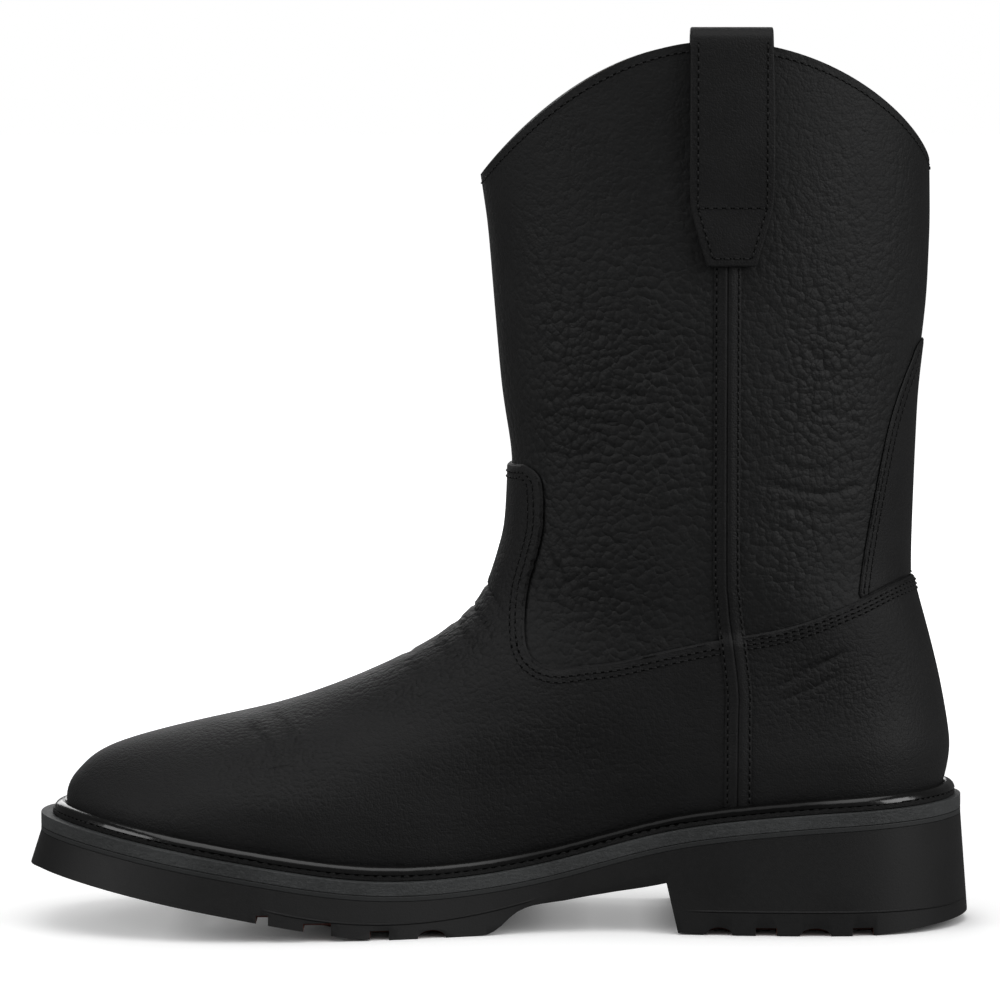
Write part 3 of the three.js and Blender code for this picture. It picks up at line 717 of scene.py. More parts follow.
def leather_grain_group():
    """Rounded cells with creased valleys between them, over a finer grain."""
    group, given, end = new_group(
        "leather_grain",
        [("Cell Size", FLOAT, 0.002), ("Strength", FLOAT, 1.0), ("Fine", FLOAT, 0.3)],
        [("Height", FLOAT)])
    place = add_node(group, "ShaderNodeTexCoord").outputs["Object"]
    scale = math_node(group, "DIVIDE", 1.0, given["Cell Size"])
    wobble = add_node(group, "ShaderNodeTexNoise", {
        "Vector": place, "Scale": math_node(group, "MULTIPLY", scale, 0.35), "Detail": 1.0})
    shift = add_node(group, "ShaderNodeVectorMath", {
        0: wobble.outputs["Color"], 1: (0.5, 0.5, 0.5)}, operation="SUBTRACT")
    push = add_node(group, "ShaderNodeVectorMath", {
        0: shift.outputs[0], "Scale": math_node(group, "MULTIPLY", given["Cell Size"], 0.9)},
        operation="SCALE")
    warped = add_node(group, "ShaderNodeVectorMath", {0: place, 1: push.outputs[0]}).outputs[0]

    def domes(factor, randomness):
        node = add_node(group, "ShaderNodeTexVoronoi", {
            "Vector": warped, "Scale": math_node(group, "MULTIPLY", scale, factor),
            "Randomness": randomness}, feature="F1")
        squared = math_node(group, "POWER", node.outputs["Distance"], 2.0)
        return math_node(group, "SUBTRACT", 1.0, math_node(group, "MULTIPLY", squared, 1.5))

    coarse = domes(1.0, 0.9)
    small = domes(2.4, 0.9)
    noise = add_node(group, "ShaderNodeTexNoise", {
        "Vector": place, "Scale": math_node(group, "MULTIPLY", scale, 5.0),
        "Detail": 3.0}).outputs["Fac"]
    strong = math_node(group, "MULTIPLY", coarse, given["Strength"])
    finer = math_node(group, "MULTIPLY", math_node(group, "ADD", small, noise), given["Fine"])
    total = math_node(group, "ADD", strong, finer)
    group.links.new(total, end.inputs["Height"])
    return group


def mottle_group():
    """Uneven colour and roughness in soft patches and fine specks."""
    group, given, end = new_group(
        "mottle",
        [("Colour", COLOUR, (0.01, 0.01, 0.01, 1)), ("Worn Colour", COLOUR, (0.02, 0.02, 0.02, 1)),
         ("Patch Size", FLOAT, 0.03), ("Speck Size", FLOAT, 0.0008), ("Roughness", FLOAT, 0.6),
         ("Spread", FLOAT, 0.1)],
        [("Colour", COLOUR), ("Roughness", FLOAT)])
    place = add_node(group, "ShaderNodeTexCoord").outputs["Object"]

    def noise(size, detail):
        return add_node(group, "ShaderNodeTexNoise", {
            "Vector": place, "Scale": math_node(group, "DIVIDE", 1.0, size),
            "Detail": detail}).outputs["Fac"]

    patches = stepped(group, noise(given["Patch Size"], 3.0), 0.35, 0.7)
    specks = stepped(group, noise(given["Speck Size"], 2.0), 0.4, 0.75)
    both = math_node(group, "ADD", math_node(group, "MULTIPLY", patches, 0.6),
                     math_node(group, "MULTIPLY", specks, 0.4))
    tint = mixed(group, both, given["Colour"], given["Worn Colour"])
    change = math_node(group, "MULTIPLY", math_node(group, "SUBTRACT", both, 0.5), given["Spread"])
    group.links.new(tint, end.inputs["Colour"])
    group.links.new(math_node(group, "ADD", given["Roughness"], change), end.inputs["Roughness"])
    return group


def shared_group(name, maker):
    return bpy.data.node_groups.get(name) or maker()


def use_group(tree, name, maker, inputs):
    node = tree.nodes.new("ShaderNodeGroup")
    node.node_tree = shared_group(name, maker)
    for label, value in inputs.items():
        if isinstance(value, bpy.types.NodeSocket):
            tree.links.new(value, node.inputs[label])
        else:
            node.inputs[label].default_value = value
    return node.outputs


def new_material(name):
    """An empty material with a Principled shader, returned with its tree and shader."""
    material = bpy.data.materials.new(name)
    material.use_nodes = True
    tree = material.node_tree
    shader = next(node for node in tree.nodes if node.type == "BSDF_PRINCIPLED")
    return material, tree, shader


def bump(tree, shader, height, distance, strength=1.0):
    node = add_node(tree, "ShaderNodeBump", {
        "Height": height, "Distance": distance, "Strength": strength})
    tree.links.new(node.outputs["Normal"], shader.inputs["Normal"])


def mottled(tree, shader, colour, gain, patch, speck, roughness, spread):
    out = use_group(tree, "mottle", mottle_group, {
        "Colour": rgba(colour), "Worn Colour": rgba(colour, gain), "Patch Size": patch,
        "Speck Size": speck, "Roughness": roughness, "Spread": spread})
    tree.links.new(out["Colour"], shader.inputs["Base Color"])
    tree.links.new(out["Roughness"], shader.inputs["Roughness"])


def leather(name, colour, cell, depth, roughness, fine, specular, gain=1.7):
    """Leather whose grain is as strong as the piece's own grain attribute says."""
    material, tree, shader = new_material(name)
    mottled(tree, shader, colour, gain, 26 * MM, 0.9 * MM, roughness, 0.14)
    shader.inputs["Specular IOR Level"].default_value = specular
    shader.inputs["Sheen Weight"].default_value = 0.02
    shader.inputs["Sheen Roughness"].default_value = 0.4
    strength = add_node(tree, "ShaderNodeAttribute", attribute_name="grain").outputs["Fac"]
    height = use_group(tree, "leather_grain", leather_grain_group, {
        "Cell Size": cell, "Strength": strength, "Fine": fine})["Height"]
    bump(tree, shader, height, depth)
    return material


def material_for(kind):
    """The boot's materials, each made when it is first asked for."""
    found = bpy.data.materials.get(kind)
    return found or MATERIALS[kind]()


def colours():
    return bpy.context.scene.boot_colours


def sizes():
    return bpy.context.scene.boot_sizes


def pebbled_leather():
    return leather("pebbled_leather", colours().shaft, sizes().pebble, 0.42 * MM, 0.62, 0.2, 0.36)


def oiled_leather():
    return leather("oiled_leather", colours().foot, sizes().fine_grain, 0.36 * MM, 0.62, 0.22, 0.36)


def smooth_leather():
    return leather("smooth_leather", colours().foot, sizes().fine_grain, 0.12 * MM, 0.58, 0.6, 0.34)


def pale_lining():
    material, tree, shader = new_material("pale_lining")
    mottled(tree, shader, colours().lining, 1.5, 18 * MM, 0.7 * MM, 0.85, 0.1)
    height = use_group(tree, "leather_grain", leather_grain_group, {
        "Cell Size": 0.9 * MM, "Strength": 0.7, "Fine": 0.5})["Height"]
    bump(tree, shader, height, 0.15 * MM)
    return material


def thread():
    material, tree, shader = new_material("thread")
    mottled(tree, shader, colours().thread, 2.2, 6 * MM, 0.3 * MM, 0.6, 0.2)
    shader.inputs["Specular IOR Level"].default_value = 0.4
    place = add_node(tree, "ShaderNodeTexCoord").outputs["Object"]
    twist = add_node(tree, "ShaderNodeTexNoise", {"Vector": place, "Scale": 3500.0})
    bump(tree, shader, twist.outputs["Fac"], 0.1 * MM)
    return material


def stitch_hole():
    """Shade inside a needle hole."""
    material, tree, shader = new_material("stitch_hole")
    mottled(tree, shader, [0.6 * part for part in colours().thread], 1.5, 5 * MM, 0.3 * MM, 0.95, 0.02)
    shader.inputs["Specular IOR Level"].default_value = 0.03
    return material


RUBBER_GRAIN = 0.06 * MM


def rubber(name, colour, roughness, gain=1.5):
    """Rubber with specks, and the place and the fine noise that its bumps are made from."""
    material, tree, shader = new_material(name)
    mottled(tree, shader, colour, gain, 30 * MM, 1.4 * MM, roughness, 0.12)
    shader.inputs["Specular IOR Level"].default_value = 0.4
    place = add_node(tree, "ShaderNodeTexCoord").outputs["Object"]
    fine = add_node(tree, "ShaderNodeTexNoise", {
        "Vector": place, "Scale": 1500.0, "Detail": 4.0}).outputs["Fac"]
    return material, tree, shader, place, fine


def plain_rubber(name, colour, roughness, gain=1.5, grain=RUBBER_GRAIN):
    material, tree, shader, _, fine = rubber(name, colour, roughness, gain)
    bump(tree, shader, fine, grain)
    return material


HEEL_LINE = 7.6 * MM  # height of the mould's parting line on the heel
FORE_LINE = 4.9 * MM  # its lowest height on the forefoot, and where that is
FORE_LINE_LOW_AT = 33 * MM
FORE_LINE_CURVE = 3.1  # rise per square of the length from there, in 1 / metres


def fine_line(tree, height, middle):
    """A thin raised line where a height is near a given middle."""
    half_width = 0.45 * MM
    away = math_node(tree, "ABSOLUTE", math_node(tree, "SUBTRACT", height, middle))
    return stepped(tree, away, half_width, 0.0)


def lug_rubber():
    """Satin rubber with the mould's parting lines near the floor."""
    material, tree, shader, place, fine = rubber("lug_rubber", colours().rubber, 0.6)
    parts = add_node(tree, "ShaderNodeSeparateXYZ", {0: place}).outputs
    behind = stepped(tree, parts["X"], along(0.31), along(0.27))
    heel_line = math_node(tree, "MULTIPLY", fine_line(tree, parts["Z"], HEEL_LINE), behind)
    off_low = math_node(tree, "SUBTRACT", parts["X"], FORE_LINE_LOW_AT)
    curve = math_node(tree, "MULTIPLY", math_node(tree, "POWER", off_low, 2.0), FORE_LINE_CURVE)
    fore_height = math_node(tree, "ADD", curve, FORE_LINE)
    before = stepped(tree, parts["X"], along(0.46), along(0.48))
    short = stepped(tree, parts["X"], along(0.75), along(0.72))
    fore_line = math_node(tree, "MULTIPLY", fine_line(tree, parts["Z"], fore_height),
                          math_node(tree, "MULTIPLY", before, short))
    lines = math_node(tree, "ADD", heel_line, fore_line)
    height = math_node(tree, "ADD", math_node(tree, "MULTIPLY", fine, 0.12), lines)
    bump(tree, shader, height, 0.35 * MM)
    return material


def tread_recess():
    return plain_rubber("tread_recess", colours().tread, 0.6)


def grey_rubber():
    """Sanded grey rubber with fine upright marks along its edge."""
    material, tree, shader, place, fine = rubber("grey_rubber", colours().midsole, 0.62, gain=1.9)
    squeezed = add_node(tree, "ShaderNodeMapping", {
        "Vector": place, "Scale": (250.0, 250.0, 900.0)}, vector_type="POINT").outputs[0]
    marks = add_node(tree, "ShaderNodeTexNoise", {
        "Vector": squeezed, "Scale": 1.0, "Detail": 4.0}).outputs["Fac"]
    height = math_node(tree, "ADD", marks, fine)
    bump(tree, shader, height, 0.25 * MM)
    return material


def slip_rubber():
    return plain_rubber("slip_rubber", [0.7 * part for part in colours().midsole], 0.6, gain=1.3)


def bead_gloss():
    """Glossy bead with a soft waviness, its gloss turned down under the waist as painted shade."""
    material, tree, shader = new_material("bead_gloss")
    mottled(tree, shader, colours().bead, 1.4, 20 * MM, 0.8 * MM, 0.2, 0.06)
    shader.inputs["Coat Roughness"].default_value = 0.12
    place = add_node(tree, "ShaderNodeTexCoord").outputs["Object"]
    length = add_node(tree, "ShaderNodeSeparateXYZ", {0: place}).outputs["X"]
    # Painted shade: the bead keeps its gloss and coat at the toe and the heel and loses them under the
    # waist, where the upper shades it
    from_toe = stepped(tree, length, along(0.44), along(0.56))
    from_heel = stepped(tree, length, along(0.20), along(0.12))
    shine = math_node(tree, "MAXIMUM", from_toe, from_heel)
    specular = stepped(tree, shine, 0.0, 1.0, 0.2, 0.6)
    coat = stepped(tree, shine, 0.0, 1.0, 0.0, 0.25)
    tree.links.new(specular, shader.inputs["Specular IOR Level"])
    tree.links.new(coat, shader.inputs["Coat Weight"])
    wave = add_node(tree, "ShaderNodeTexNoise", {"Vector": place, "Scale": 160.0})
    bump(tree, shader, wave.outputs["Fac"], 0.25 * MM)
    return material


def welt_strip():
    """Matt ribbed strip beside the bead, which the welt's stitches lie on."""
    return plain_rubber("welt_strip", colours().bead, 0.75, gain=2.4, grain=0.3 * MM)


MATERIALS = {
    "pebbled_leather": pebbled_leather,
    "oiled_leather": oiled_leather,
    "smooth_leather": smooth_leather,
    "pale_lining": pale_lining,
    "thread": thread,
    "stitch_hole": stitch_hole,
    "lug_rubber": lug_rubber,
    "tread_recess": tread_recess,
    "grey_rubber": grey_rubber,
    "slip_rubber": slip_rubber,
    "bead_gloss": bead_gloss,
    "welt_strip": welt_strip,
}

LEATHER = 0  # the shaft's outer face and its rim
LINING = 1
BEAD = 0  # the welt's faces
STRIP = 1
LUG = 0  # the outsole's faces
RECESS = 1


# The shaft
class MakeShaft(bpy.types.Operator):
    """Shaft and vamp lining in one, smooth, creased and open at the collar"""

    bl_idname = "boot.make_shaft"
    bl_label = "Shaft"

    def execute(self, context):
        shaft = copy_of_node("upper", "shaft")
        add_shaft_rows(shaft)
        outside = patch_around(shaft, max_face(shaft, lambda face: face.center.x))
        rim = patch_around(shaft, max_face(shaft, lambda face: face.center.z + face.normal.z))
        for face in shaft.data.polygons:
            inside = face.index not in outside and face.index not in rim
            face.material_index = LINING if inside else LEATHER
        mark = shaft.data.attributes.new("outside", "BOOLEAN", "FACE")
        mark.data.foreach_set("value", [face.index in outside for face in shaft.data.polygons])
        smoothed(shaft, sizes().smoothness)
        refine_creases(shaft)
        creased(shaft, outer_faces(shaft))
        paint_grain(shaft, GRAIN_FIELD, 0.12)
        shade(shaft)
        finish(shaft, ["pebbled_leather", "pale_lining"], "shaft_leather", "upper")
        return {"FINISHED"}


def max_face(piece, measure):
    return max(piece.data.polygons, key=measure).index


def add_shaft_rows(shaft):
    """Doubles the rows of faces over the ankle, where the frame's are far apart."""
    low = above(0.38)
    points = [vertex.co for vertex in shaft.data.vertices]
    back = along(0.2)
    edit(shaft, "EDGE")
    close()
    for edge in shaft.data.edges:
        start, end = (points[i] for i in edge.vertices)
        at_back = max(abs(start.y), abs(end.y)) < 0.5 * MM and max(start.x, end.x) < back
        upright = abs(start.z - end.z) > 4 * MM
        edge.select = at_back and upright and min(start.z, end.z) > low
    bpy.ops.object.mode_set(mode="EDIT")
    bpy.ops.mesh.loop_multi_select(ring=True)
    bpy.ops.mesh.subdivide(number_cuts=1)
    close()


def outer_faces(piece):
    """Indices of the faces on the outside of the upper's wall."""
    values = piece.data.attributes["outside"].data
    return [face.index for face in piece.data.polygons if values[face.index].value]


# Panels over the shaft
def side_cutter(outline):
    """A straight block through the boot from an outline in side view."""
    bpy.ops.object.select_all(action="DESELECT")
    bpy.ops.mesh.primitive_circle_add(vertices=len(outline), fill_type="NGON")
    cutter = bpy.context.object
    for vertex, point in zip(cutter.data.vertices, outline):
        vertex.co = (point.x, -REACH, point.y)
    edit_all(cutter)
    bpy.ops.mesh.extrude_region_move(TRANSFORM_OT_translate={"value": (0, 2 * REACH, 0)})
    bpy.ops.mesh.select_all(action="SELECT")
    bpy.ops.mesh.normals_make_consistent(inside=False)
    close()
    return cutter


OUTER_SKIN = 0  # faces of a panel's outer face
HIDDEN_SKIN = 1  # its back and its cut edges


def make_panel(name, outline, gap, thickness, rounding):
    """Leather over the shaft's outer face within an outline in side view, its edge rounded."""
    shaft = bpy.data.objects["shaft"]
    panel = linked(name, shaft.data.copy())
    keep = set(outer_faces(panel))
    select_faces(panel, lambda face: face.index not in keep)
    bpy.ops.mesh.delete(type="FACE")
    close()
    apply_modifier(panel, "DISPLACE", strength=gap, mid_level=0)
    for face in panel.data.polygons:
        face.material_index = OUTER_SKIN
    apply_modifier(
        panel, "SOLIDIFY", thickness=thickness, offset=1, material_offset=HIDDEN_SKIN,
        material_offset_rim=HIDDEN_SKIN)
    cutter = side_cutter(outline)
    for _ in range(2):
        cutter.data.materials.append(None)
    for face in cutter.data.polygons:
        face.material_index = HIDDEN_SKIN
    apply_modifier(panel, "BOOLEAN", operation="INTERSECT", object=cutter, solver="EXACT")
    discard(cutter)
    round_panel(panel, rounding, thickness)
    return panel


def round_panel(panel, rounding, thickness):
    """Adds two rows along a panel's edge and lowers them towards it."""
    edit(panel, "VERT")
    bpy.ops.mesh.select_all(action="SELECT")
    bpy.ops.mesh.remove_doubles(threshold=0.3 * MM)
    close()
    for share in (0.4, 0.6):
        select_faces(panel, lambda face: face.material_index == OUTER_SKIN)
        bpy.ops.mesh.inset(
            thickness=share * rounding, depth=0, use_boundary=True, use_even_offset=False)
        close()
    mesh = panel.data
    kinds = [set() for _ in mesh.vertices]
    for face in mesh.polygons:
        for index in face.vertices:
            kinds[index].add(face.material_index)
    edge = [index for index, kind in enumerate(kinds) if len(kind) > 1]
    tree = KDTree(len(edge))
    for number, index in enumerate(edge):
        tree.insert(mesh.vertices[index].co, number)
    tree.balance()
    normals = outer_normals(mesh)
    for index, kind in enumerate(kinds):
        if OUTER_SKIN not in kind:
            continue
        vertex = mesh.vertices[index]
        near = tree.find(vertex.co)[2] / rounding
        if near < 1:
            vertex.co -= normals[index] * 0.62 * thickness * (1 - near) ** 2


def outer_normals(mesh):
    """Normals at the vertices from a panel's outer faces alone."""
    normals = [Vector() for _ in mesh.vertices]
    for face in mesh.polygons:
        if face.material_index == OUTER_SKIN:
            for index in face.vertices:
                normals[index] += face.normal * face.area
    return [normal.normalized() for normal in normals]


def panel_edge(rows):
    return smooth_line(in_side_view(rows), 1.2 * MM)


def seam_side(shift):
    """The side seam's line over the foot, moved along the boot, from top to bottom."""
    heights = np.linspace(above(0.34), 0, 40)
    return [Vector((seam_x(z) + shift, z)) for z in heights]


def upto_seam(line, shift):
    """The part of a line on its own side of the side seam, with its end on the seam."""
    ahead = 1 if shift > 0 else -1
    kept = [p for p in line if (p.x - seam_x(p.y) - shift) * ahead > 0.2 * MM]
    end = kept[-1]
    last = Vector((seam_x(end.y) + shift, end.y))
    return [*kept[:-1], *even_points([end, last], MM)]


SEAM_GAP = 0.4 * MM


class MakeVamp(bpy.types.Operator):
    """Vamp over the foot, with its tongue-shaped top up the front of the shaft"""

    bl_idname = "boot.make_vamp"
    bl_label = "Vamp"

    def execute(self, context):
        edge = upto_seam(panel_edge(VAMP_EDGE), SEAM_GAP)
        seam = [point for point in seam_side(SEAM_GAP) if point.y < edge[-1].y - 0.5 * MM]
        toe = along(1.1)
        outline = [*edge, *seam, Vector((toe, 0)), Vector((toe, edge[0].y))]
        vamp = make_panel(
            "vamp_leather", outline, sizes().seat_gap, sizes().vamp_thickness, sizes().edge_round)
        finish_panel(vamp, "oiled_leather", FOOT_GRAIN_FIELD, "vamp")
        return {"FINISHED"}


def finish_panel(panel, kind, field, node):
    """Gives a panel its own grain in place of the shaft's, and finishes it."""
    attributes = panel.data.attributes
    for name in ("grain", "outside"):
        attributes.remove(attributes[name])
    paint_grain(panel, field, 0.14)
    shade(panel)
    finish(panel, [kind], "foot_leather", node)


class MakeCounter(bpy.types.Operator):
    """Counter around the heel"""

    bl_idname = "boot.make_counter"
    bl_label = "Counter"

    def execute(self, context):
        edge = [*reversed(upto_seam(list(reversed(panel_edge(COUNTER_EDGE))), -SEAM_GAP))]
        seam = [point for point in seam_side(-SEAM_GAP) if point.y < edge[0].y - 0.5 * MM]
        back = edge[-1].x
        outline = [*edge, Vector((back, 0)), *reversed(seam)]
        counter = make_panel(
            "counter_leather", outline, sizes().seat_gap, sizes().vamp_thickness,
            sizes().edge_round)
        finish_panel(counter, "oiled_leather", FOOT_GRAIN_FIELD, "counter")
        return {"FINISHED"}


class MakeBackStay(bpy.types.Operator):
    """Smooth panel up the back of the shaft"""

    bl_idname = "boot.make_back_stay"
    bl_label = "Back stay"

    def execute(self, context):
        edge = panel_edge(STAY_EDGE)
        under = [Vector((p.x, p.y + 0.5 * MM)) for p in panel_edge(COUNTER_EDGE)
                 if p.x < edge[-1].x]
        outline = [*edge, *under]
        stay = make_panel(
            "back_stay_leather", outline, sizes().seat_gap, sizes().stay_thickness,
            0.8 * sizes().edge_round)
        finish_panel(stay, "smooth_leather", FOOT_GRAIN_FIELD, "back_stay")
        return {"FINISHED"}


# Side seams
SEAM_PROFILE = (
    # share of half the width, share of the rise
    (-1.0, -0.3), (-0.86, 0.0), (-0.72, 0.2), (-0.58, 0.45), (-0.43, 0.75), (-0.3, 0.95),
    (-0.19, 1.0), (-0.09, 0.6), (0.0, -0.05),
)


def strap_tip():
    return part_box("pull_strap_inner")[0].z


class MakeSideSeams(bpy.types.Operator):
    """Folded seams down both sides, with a groove between their two folds"""

    bl_idname = "boot.make_side_seams"
    bl_label = "Side seams"

    def execute(self, context):
        other_half = [(-share, rise) for share, rise in reversed(SEAM_PROFILE[:-1])]
        profile = [*SEAM_PROFILE, *other_half]
        shaft = bpy.data.objects["shaft"]
        keep = set(outer_faces(shaft))
        skin = surface_of(shaft, lambda face: face.index in keep)
        for side, word in SIDES.items():
            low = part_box(f"foot_seam_{word}")[0].z
            high = strap_tip() + 3 * MM
            heights = np.linspace(low, high, 110)
            seam = make_strip(f"side_seam_{word}", len(profile), len(heights))
            rows = []
            for z in heights:
                base = seam_base(z)
                for share, rise in profile:
                    x = seam_x(z) + share * sizes().seam_width / 2
                    place, normal = side_hit(skin, x, z, side)
                    rows.append(place + normal * (base + rise * sizes().seam_rise))
            order = rows if side > 0 else mirrored_rows(rows, len(profile))
            set_coordinates(seam, np.array([tuple(point) for point in order]))
            apply_modifier(seam, "SOLIDIFY", thickness=0.5 * MM, offset=-1)
            paint_grain(seam, FOOT_GRAIN_FIELD, 0.2)
            shade(seam, 60)
            finish(seam, ["smooth_leather"], "shaft_leather",
                   f"shaft_seam_{word}", f"foot_seam_{word}")
        return {"FINISHED"}


def seam_base(z):
    """How far the seam's edges lie over the shaft's skin, higher where they cross the foot."""
    top = above(0.3275)
    share = clamped((top + 1.5 * MM - z) / (3 * MM))
    over_foot = sizes().seat_gap + sizes().vamp_thickness
    return 0.05 * MM + over_foot * share * share * (3 - 2 * share)


def mirrored_rows(rows, count):
    return [point for start in range(0, len(rows), count)
            for point in reversed(rows[start:start + count])]


def make_strip(name, across, along_count):
    """A flat grid, with its rows of vertices one after the other."""
    bpy.ops.object.select_all(action="DESELECT")
    bpy.ops.mesh.primitive_grid_add(x_subdivisions=across - 1, y_subdivisions=along_count - 1)
    strip = bpy.context.object
    strip.name = name
    strip.data.name = name
    return strip


# Pull straps
STRAP_SHIFT = {"inner": 1.0 * MM, "outer": 4.0 * MM}  # how far behind the side seams they sit


class MakeStraps(bpy.types.Operator):
    """Pull straps over the collar's crests, inside and outside"""

    bl_idname = "boot.make_straps"
    bl_label = "Pull straps"

    def execute(self, context):
        for word in SIDES.values():
            strap = copy_of_node(f"pull_strap_{word}", f"strap_{word}")
            points = coordinates(strap)
            points[:, 0] -= STRAP_SHIFT[word]
            set_coordinates(strap, points)
            smoothed(strap, 2)
            bevelled(strap, 0.8 * MM, segments=3, angle=math.radians(45))
            paint_grain(strap, FOOT_GRAIN_FIELD, 0.3)
            shade(strap, 60)
            finish(strap, ["smooth_leather"], "foot_leather", f"pull_strap_{word}")
        return {"FINISHED"}


# Sole
class MakeMidsole(bpy.types.Operator):
    """Grey midsole and the thin slip sole under it"""

    bl_idname = "boot.make_midsole"
    bl_label = "Midsole"

    def execute(self, context):
        for node, name, kind in (
            ("midsole", "midsole_layer", "grey_rubber"),
            ("slip_sole", "slip_layer", "slip_rubber"),
        ):
            layer = smoothed(copy_of_node(node, name), sizes().smoothness)
            if node == "slip_sole":
                raise_top(layer, CLOSING)
            bevelled(layer, 0.25 * MM)
            shade(layer)
            finish(layer, [kind], "midsole_rubber", node)
        return {"FINISHED"}


CLOSING = 0.2 * MM  # how far the sole's layers close the frame's gaps between them


def raise_top(layer, distance):
    """Moves the top of a layer up."""
    top = {index for face in layer.data.polygons if face.normal.z > 0.5 for index in face.vertices}
    for index in top:
        layer.data.vertices[index].co.z += distance


class MakeInsole(bpy.types.Operator):
    """Insole"""

    bl_idname = "boot.make_insole"
    bl_label = "Insole"

    def execute(self, context):
        insole = smoothed(copy_of_node("insole", "insole_board"), sizes().smoothness)
        bevelled(insole, 0.8 * MM)
        shade(insole)
        finish(insole, ["pale_lining"], "lining", "insole")
        return {"FINISHED"}


class MakeWelt(bpy.types.Operator):
    """Storm welt: a glossy bead over a stitched strip"""

    bl_idname = "boot.make_welt"
    bl_label = "Welt"

    def execute(self, context):
        welt = copy_of_node("welt", "storm_welt")
        smoothed(welt, sizes().smoothness)
        midsole = surface_of(bpy.data.objects["midsole_layer"])
        for face in welt.data.polygons:
            low = midsole.find_nearest(face.center)[3] < STRIP_HEIGHT
            face.material_index = STRIP if low else BEAD
        swell_bead(welt)
        shade(welt, 45)
        finish(welt, ["bead_gloss", "welt_strip"], "welt_gloss", "welt")
        return {"FINISHED"}


STRIP_HEIGHT = 1.75 * MM  # over the midsole, with the frame's gap


def swell_bead(welt):
    """Thickens the bead, but not the strip beside it nor what lies under both."""
    fixed = {index for face in welt.data.polygons
             if face.material_index == STRIP or face.normal.z < -0.5 for index in face.vertices}
    normals = [vertex.normal.copy() for vertex in welt.data.vertices]
    for vertex, normal in zip(welt.data.vertices, normals):
        if vertex.index not in fixed:
            vertex.co += normal * sizes().bead_swell


# Cuts of the tread: share of the boot's length, width in millimetres, with a round roof or not
SIDE_CUTS = (
    (0.1213, 6.7, False), (0.1709, 10.2, True), (0.2223, 6.7, False), (0.2710, 8.2, True),
    (0.5711, 8.8, True), (0.6253, 6.0, False), (0.6896, 8.8, False), (0.7465, 3.8, False),
)
MIDDLE_CUTS = (
    (0.1461, 7.0, 12.0), (0.2104, 7.0, 12.0), (0.5959, 6.0, 20.0), (0.6602, 6.0, 22.0),
    (0.7244, 6.0, 22.0), (0.7887, 6.0, 20.0), (0.8530, 6.0, 17.0),
)
# Thickness of the sole under the top of the midsole, in front of the heel, in millimetres
SOLE_THICKNESS = (
    (0.0, 13.8), (0.10, 13.8), (0.20, 14.7), (0.32, 16.3), (0.44, 12.8), (0.481, 13.1),
    (0.518, 19.0), (0.61, 17.8), (1.0, 16.6),
)
TREAD_START = 0.515  # where the waist meets the tread, as a share of the length
HEEL_BREAST = 0.3137  # the heel's front edge at the floor
BREAST_SLANT = 3.8 * MM
HEEL_BEVEL = 3.2 * MM
BEVEL_START = 0.114
EDGE_REACH = 5 * MM  # how far in from the sole's edge the side cuts have their full depth
LUG_REACH = 17 * MM  # how far in they run at all
MIDDLE_LINE = 4 * MM  # across the boot, where the heights of the sole's layers are taken


def height_at(tree, x):
    """Height of a surface on the middle line, seen from above."""
    return tree.ray_cast(Vector((x, MIDDLE_LINE, 1)), Vector((0, 0, -1)))[0].z


def smooth_value(rows):
    """A smooth function through a short table."""
    line = smooth_line([Vector((along(at), value)) for at, value in rows], 0.5 * MM)
    xs = [point.x for point in line]
    values = [point.y for point in line]
    return lambda x: float(np.interp(x, xs, values))


class MakeOutsole(bpy.types.Operator):
    """Black lug outsole with its heel block"""

    bl_idname = "boot.make_outsole"
    bl_label = "Outsole"

    def execute(self, context):
        outsole = copy_of_node("slip_sole", "outsole_block")
        smoothed(outsole, sizes().smoothness)
        spread_block(outsole)
        outsole.data.materials.append(None)
        outsole.data.materials.append(None)
        cut(outsole, waist_cutter(), LUG)
        for cutter in tread_cutters():
            cut(outsole, cutter, RECESS)
        bevelled(outsole, 0.5 * MM, angle=math.radians(40))
        shade(outsole)
        finish(outsole, ["lug_rubber", "tread_recess"], "outsole_rubber", "outsole")
        return {"FINISHED"}


def under_sole():
    """Height of the sole's underside in front of the heel, as a function of x."""
    top = surface_of(frame["nodes"]["midsole"])
    low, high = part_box("midsole")
    thickness = smooth_value(SOLE_THICKNESS)

    def height(x):
        inside = min(max(x, low.x + MM), high.x - MM)
        return max(0.0, height_at(top, inside) - thickness(x) * MM)

    return height


def spread_block(block):
    """Stretches a copy of the slip sole down to the floor side, flared towards it."""
    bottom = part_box("outsole")
    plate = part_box("slip_sole")
    under = under_sole()
    points = coordinates(block)
    normals = np.array([tuple(vertex.normal) for vertex in block.data.vertices])
    thickness = slip_thickness()
    drop = thickness + sizes().seat_gap
    back_flare = plate[0].x - bottom[0].x
    toe_flare = bottom[1].x - plate[1].x
    side_flare = ((bottom[1].y - bottom[0].y) - (plate[1].y - plate[0].y)) / 2
    top_tree = surface_of(block, lambda face: face.normal.z > 0.5)
    rim = rim_vertices(block)
    bevel_start = along(BEVEL_START)
    for index, point in enumerate(points):
        share = min(top_tree.find_nearest(Vector(point))[3] / thickness, 1)
        at = (point[0] - cad_low.x) / along_length(1)
        toe = clamped((at - 0.55) / 0.4)
        heel = clamped((0.45 - at) / 0.4)
        flare = side_flare + (toe_flare - side_flare) * toe + (back_flare - side_flare) * heel
        out = normals[index][:2]
        length = np.linalg.norm(out)
        if length > 0.3 and index in rim:
            point[:2] += out / length * flare * share
        top = point[2] + share * thickness - drop + CLOSING
        if at > TREAD_START:
            low = under(point[0])
        else:
            low = HEEL_BEVEL * clamped((bevel_start - point[0]) / (bevel_start - cad_low.x))
        point[2] = top + (low - top) * share
    set_coordinates(block, points)


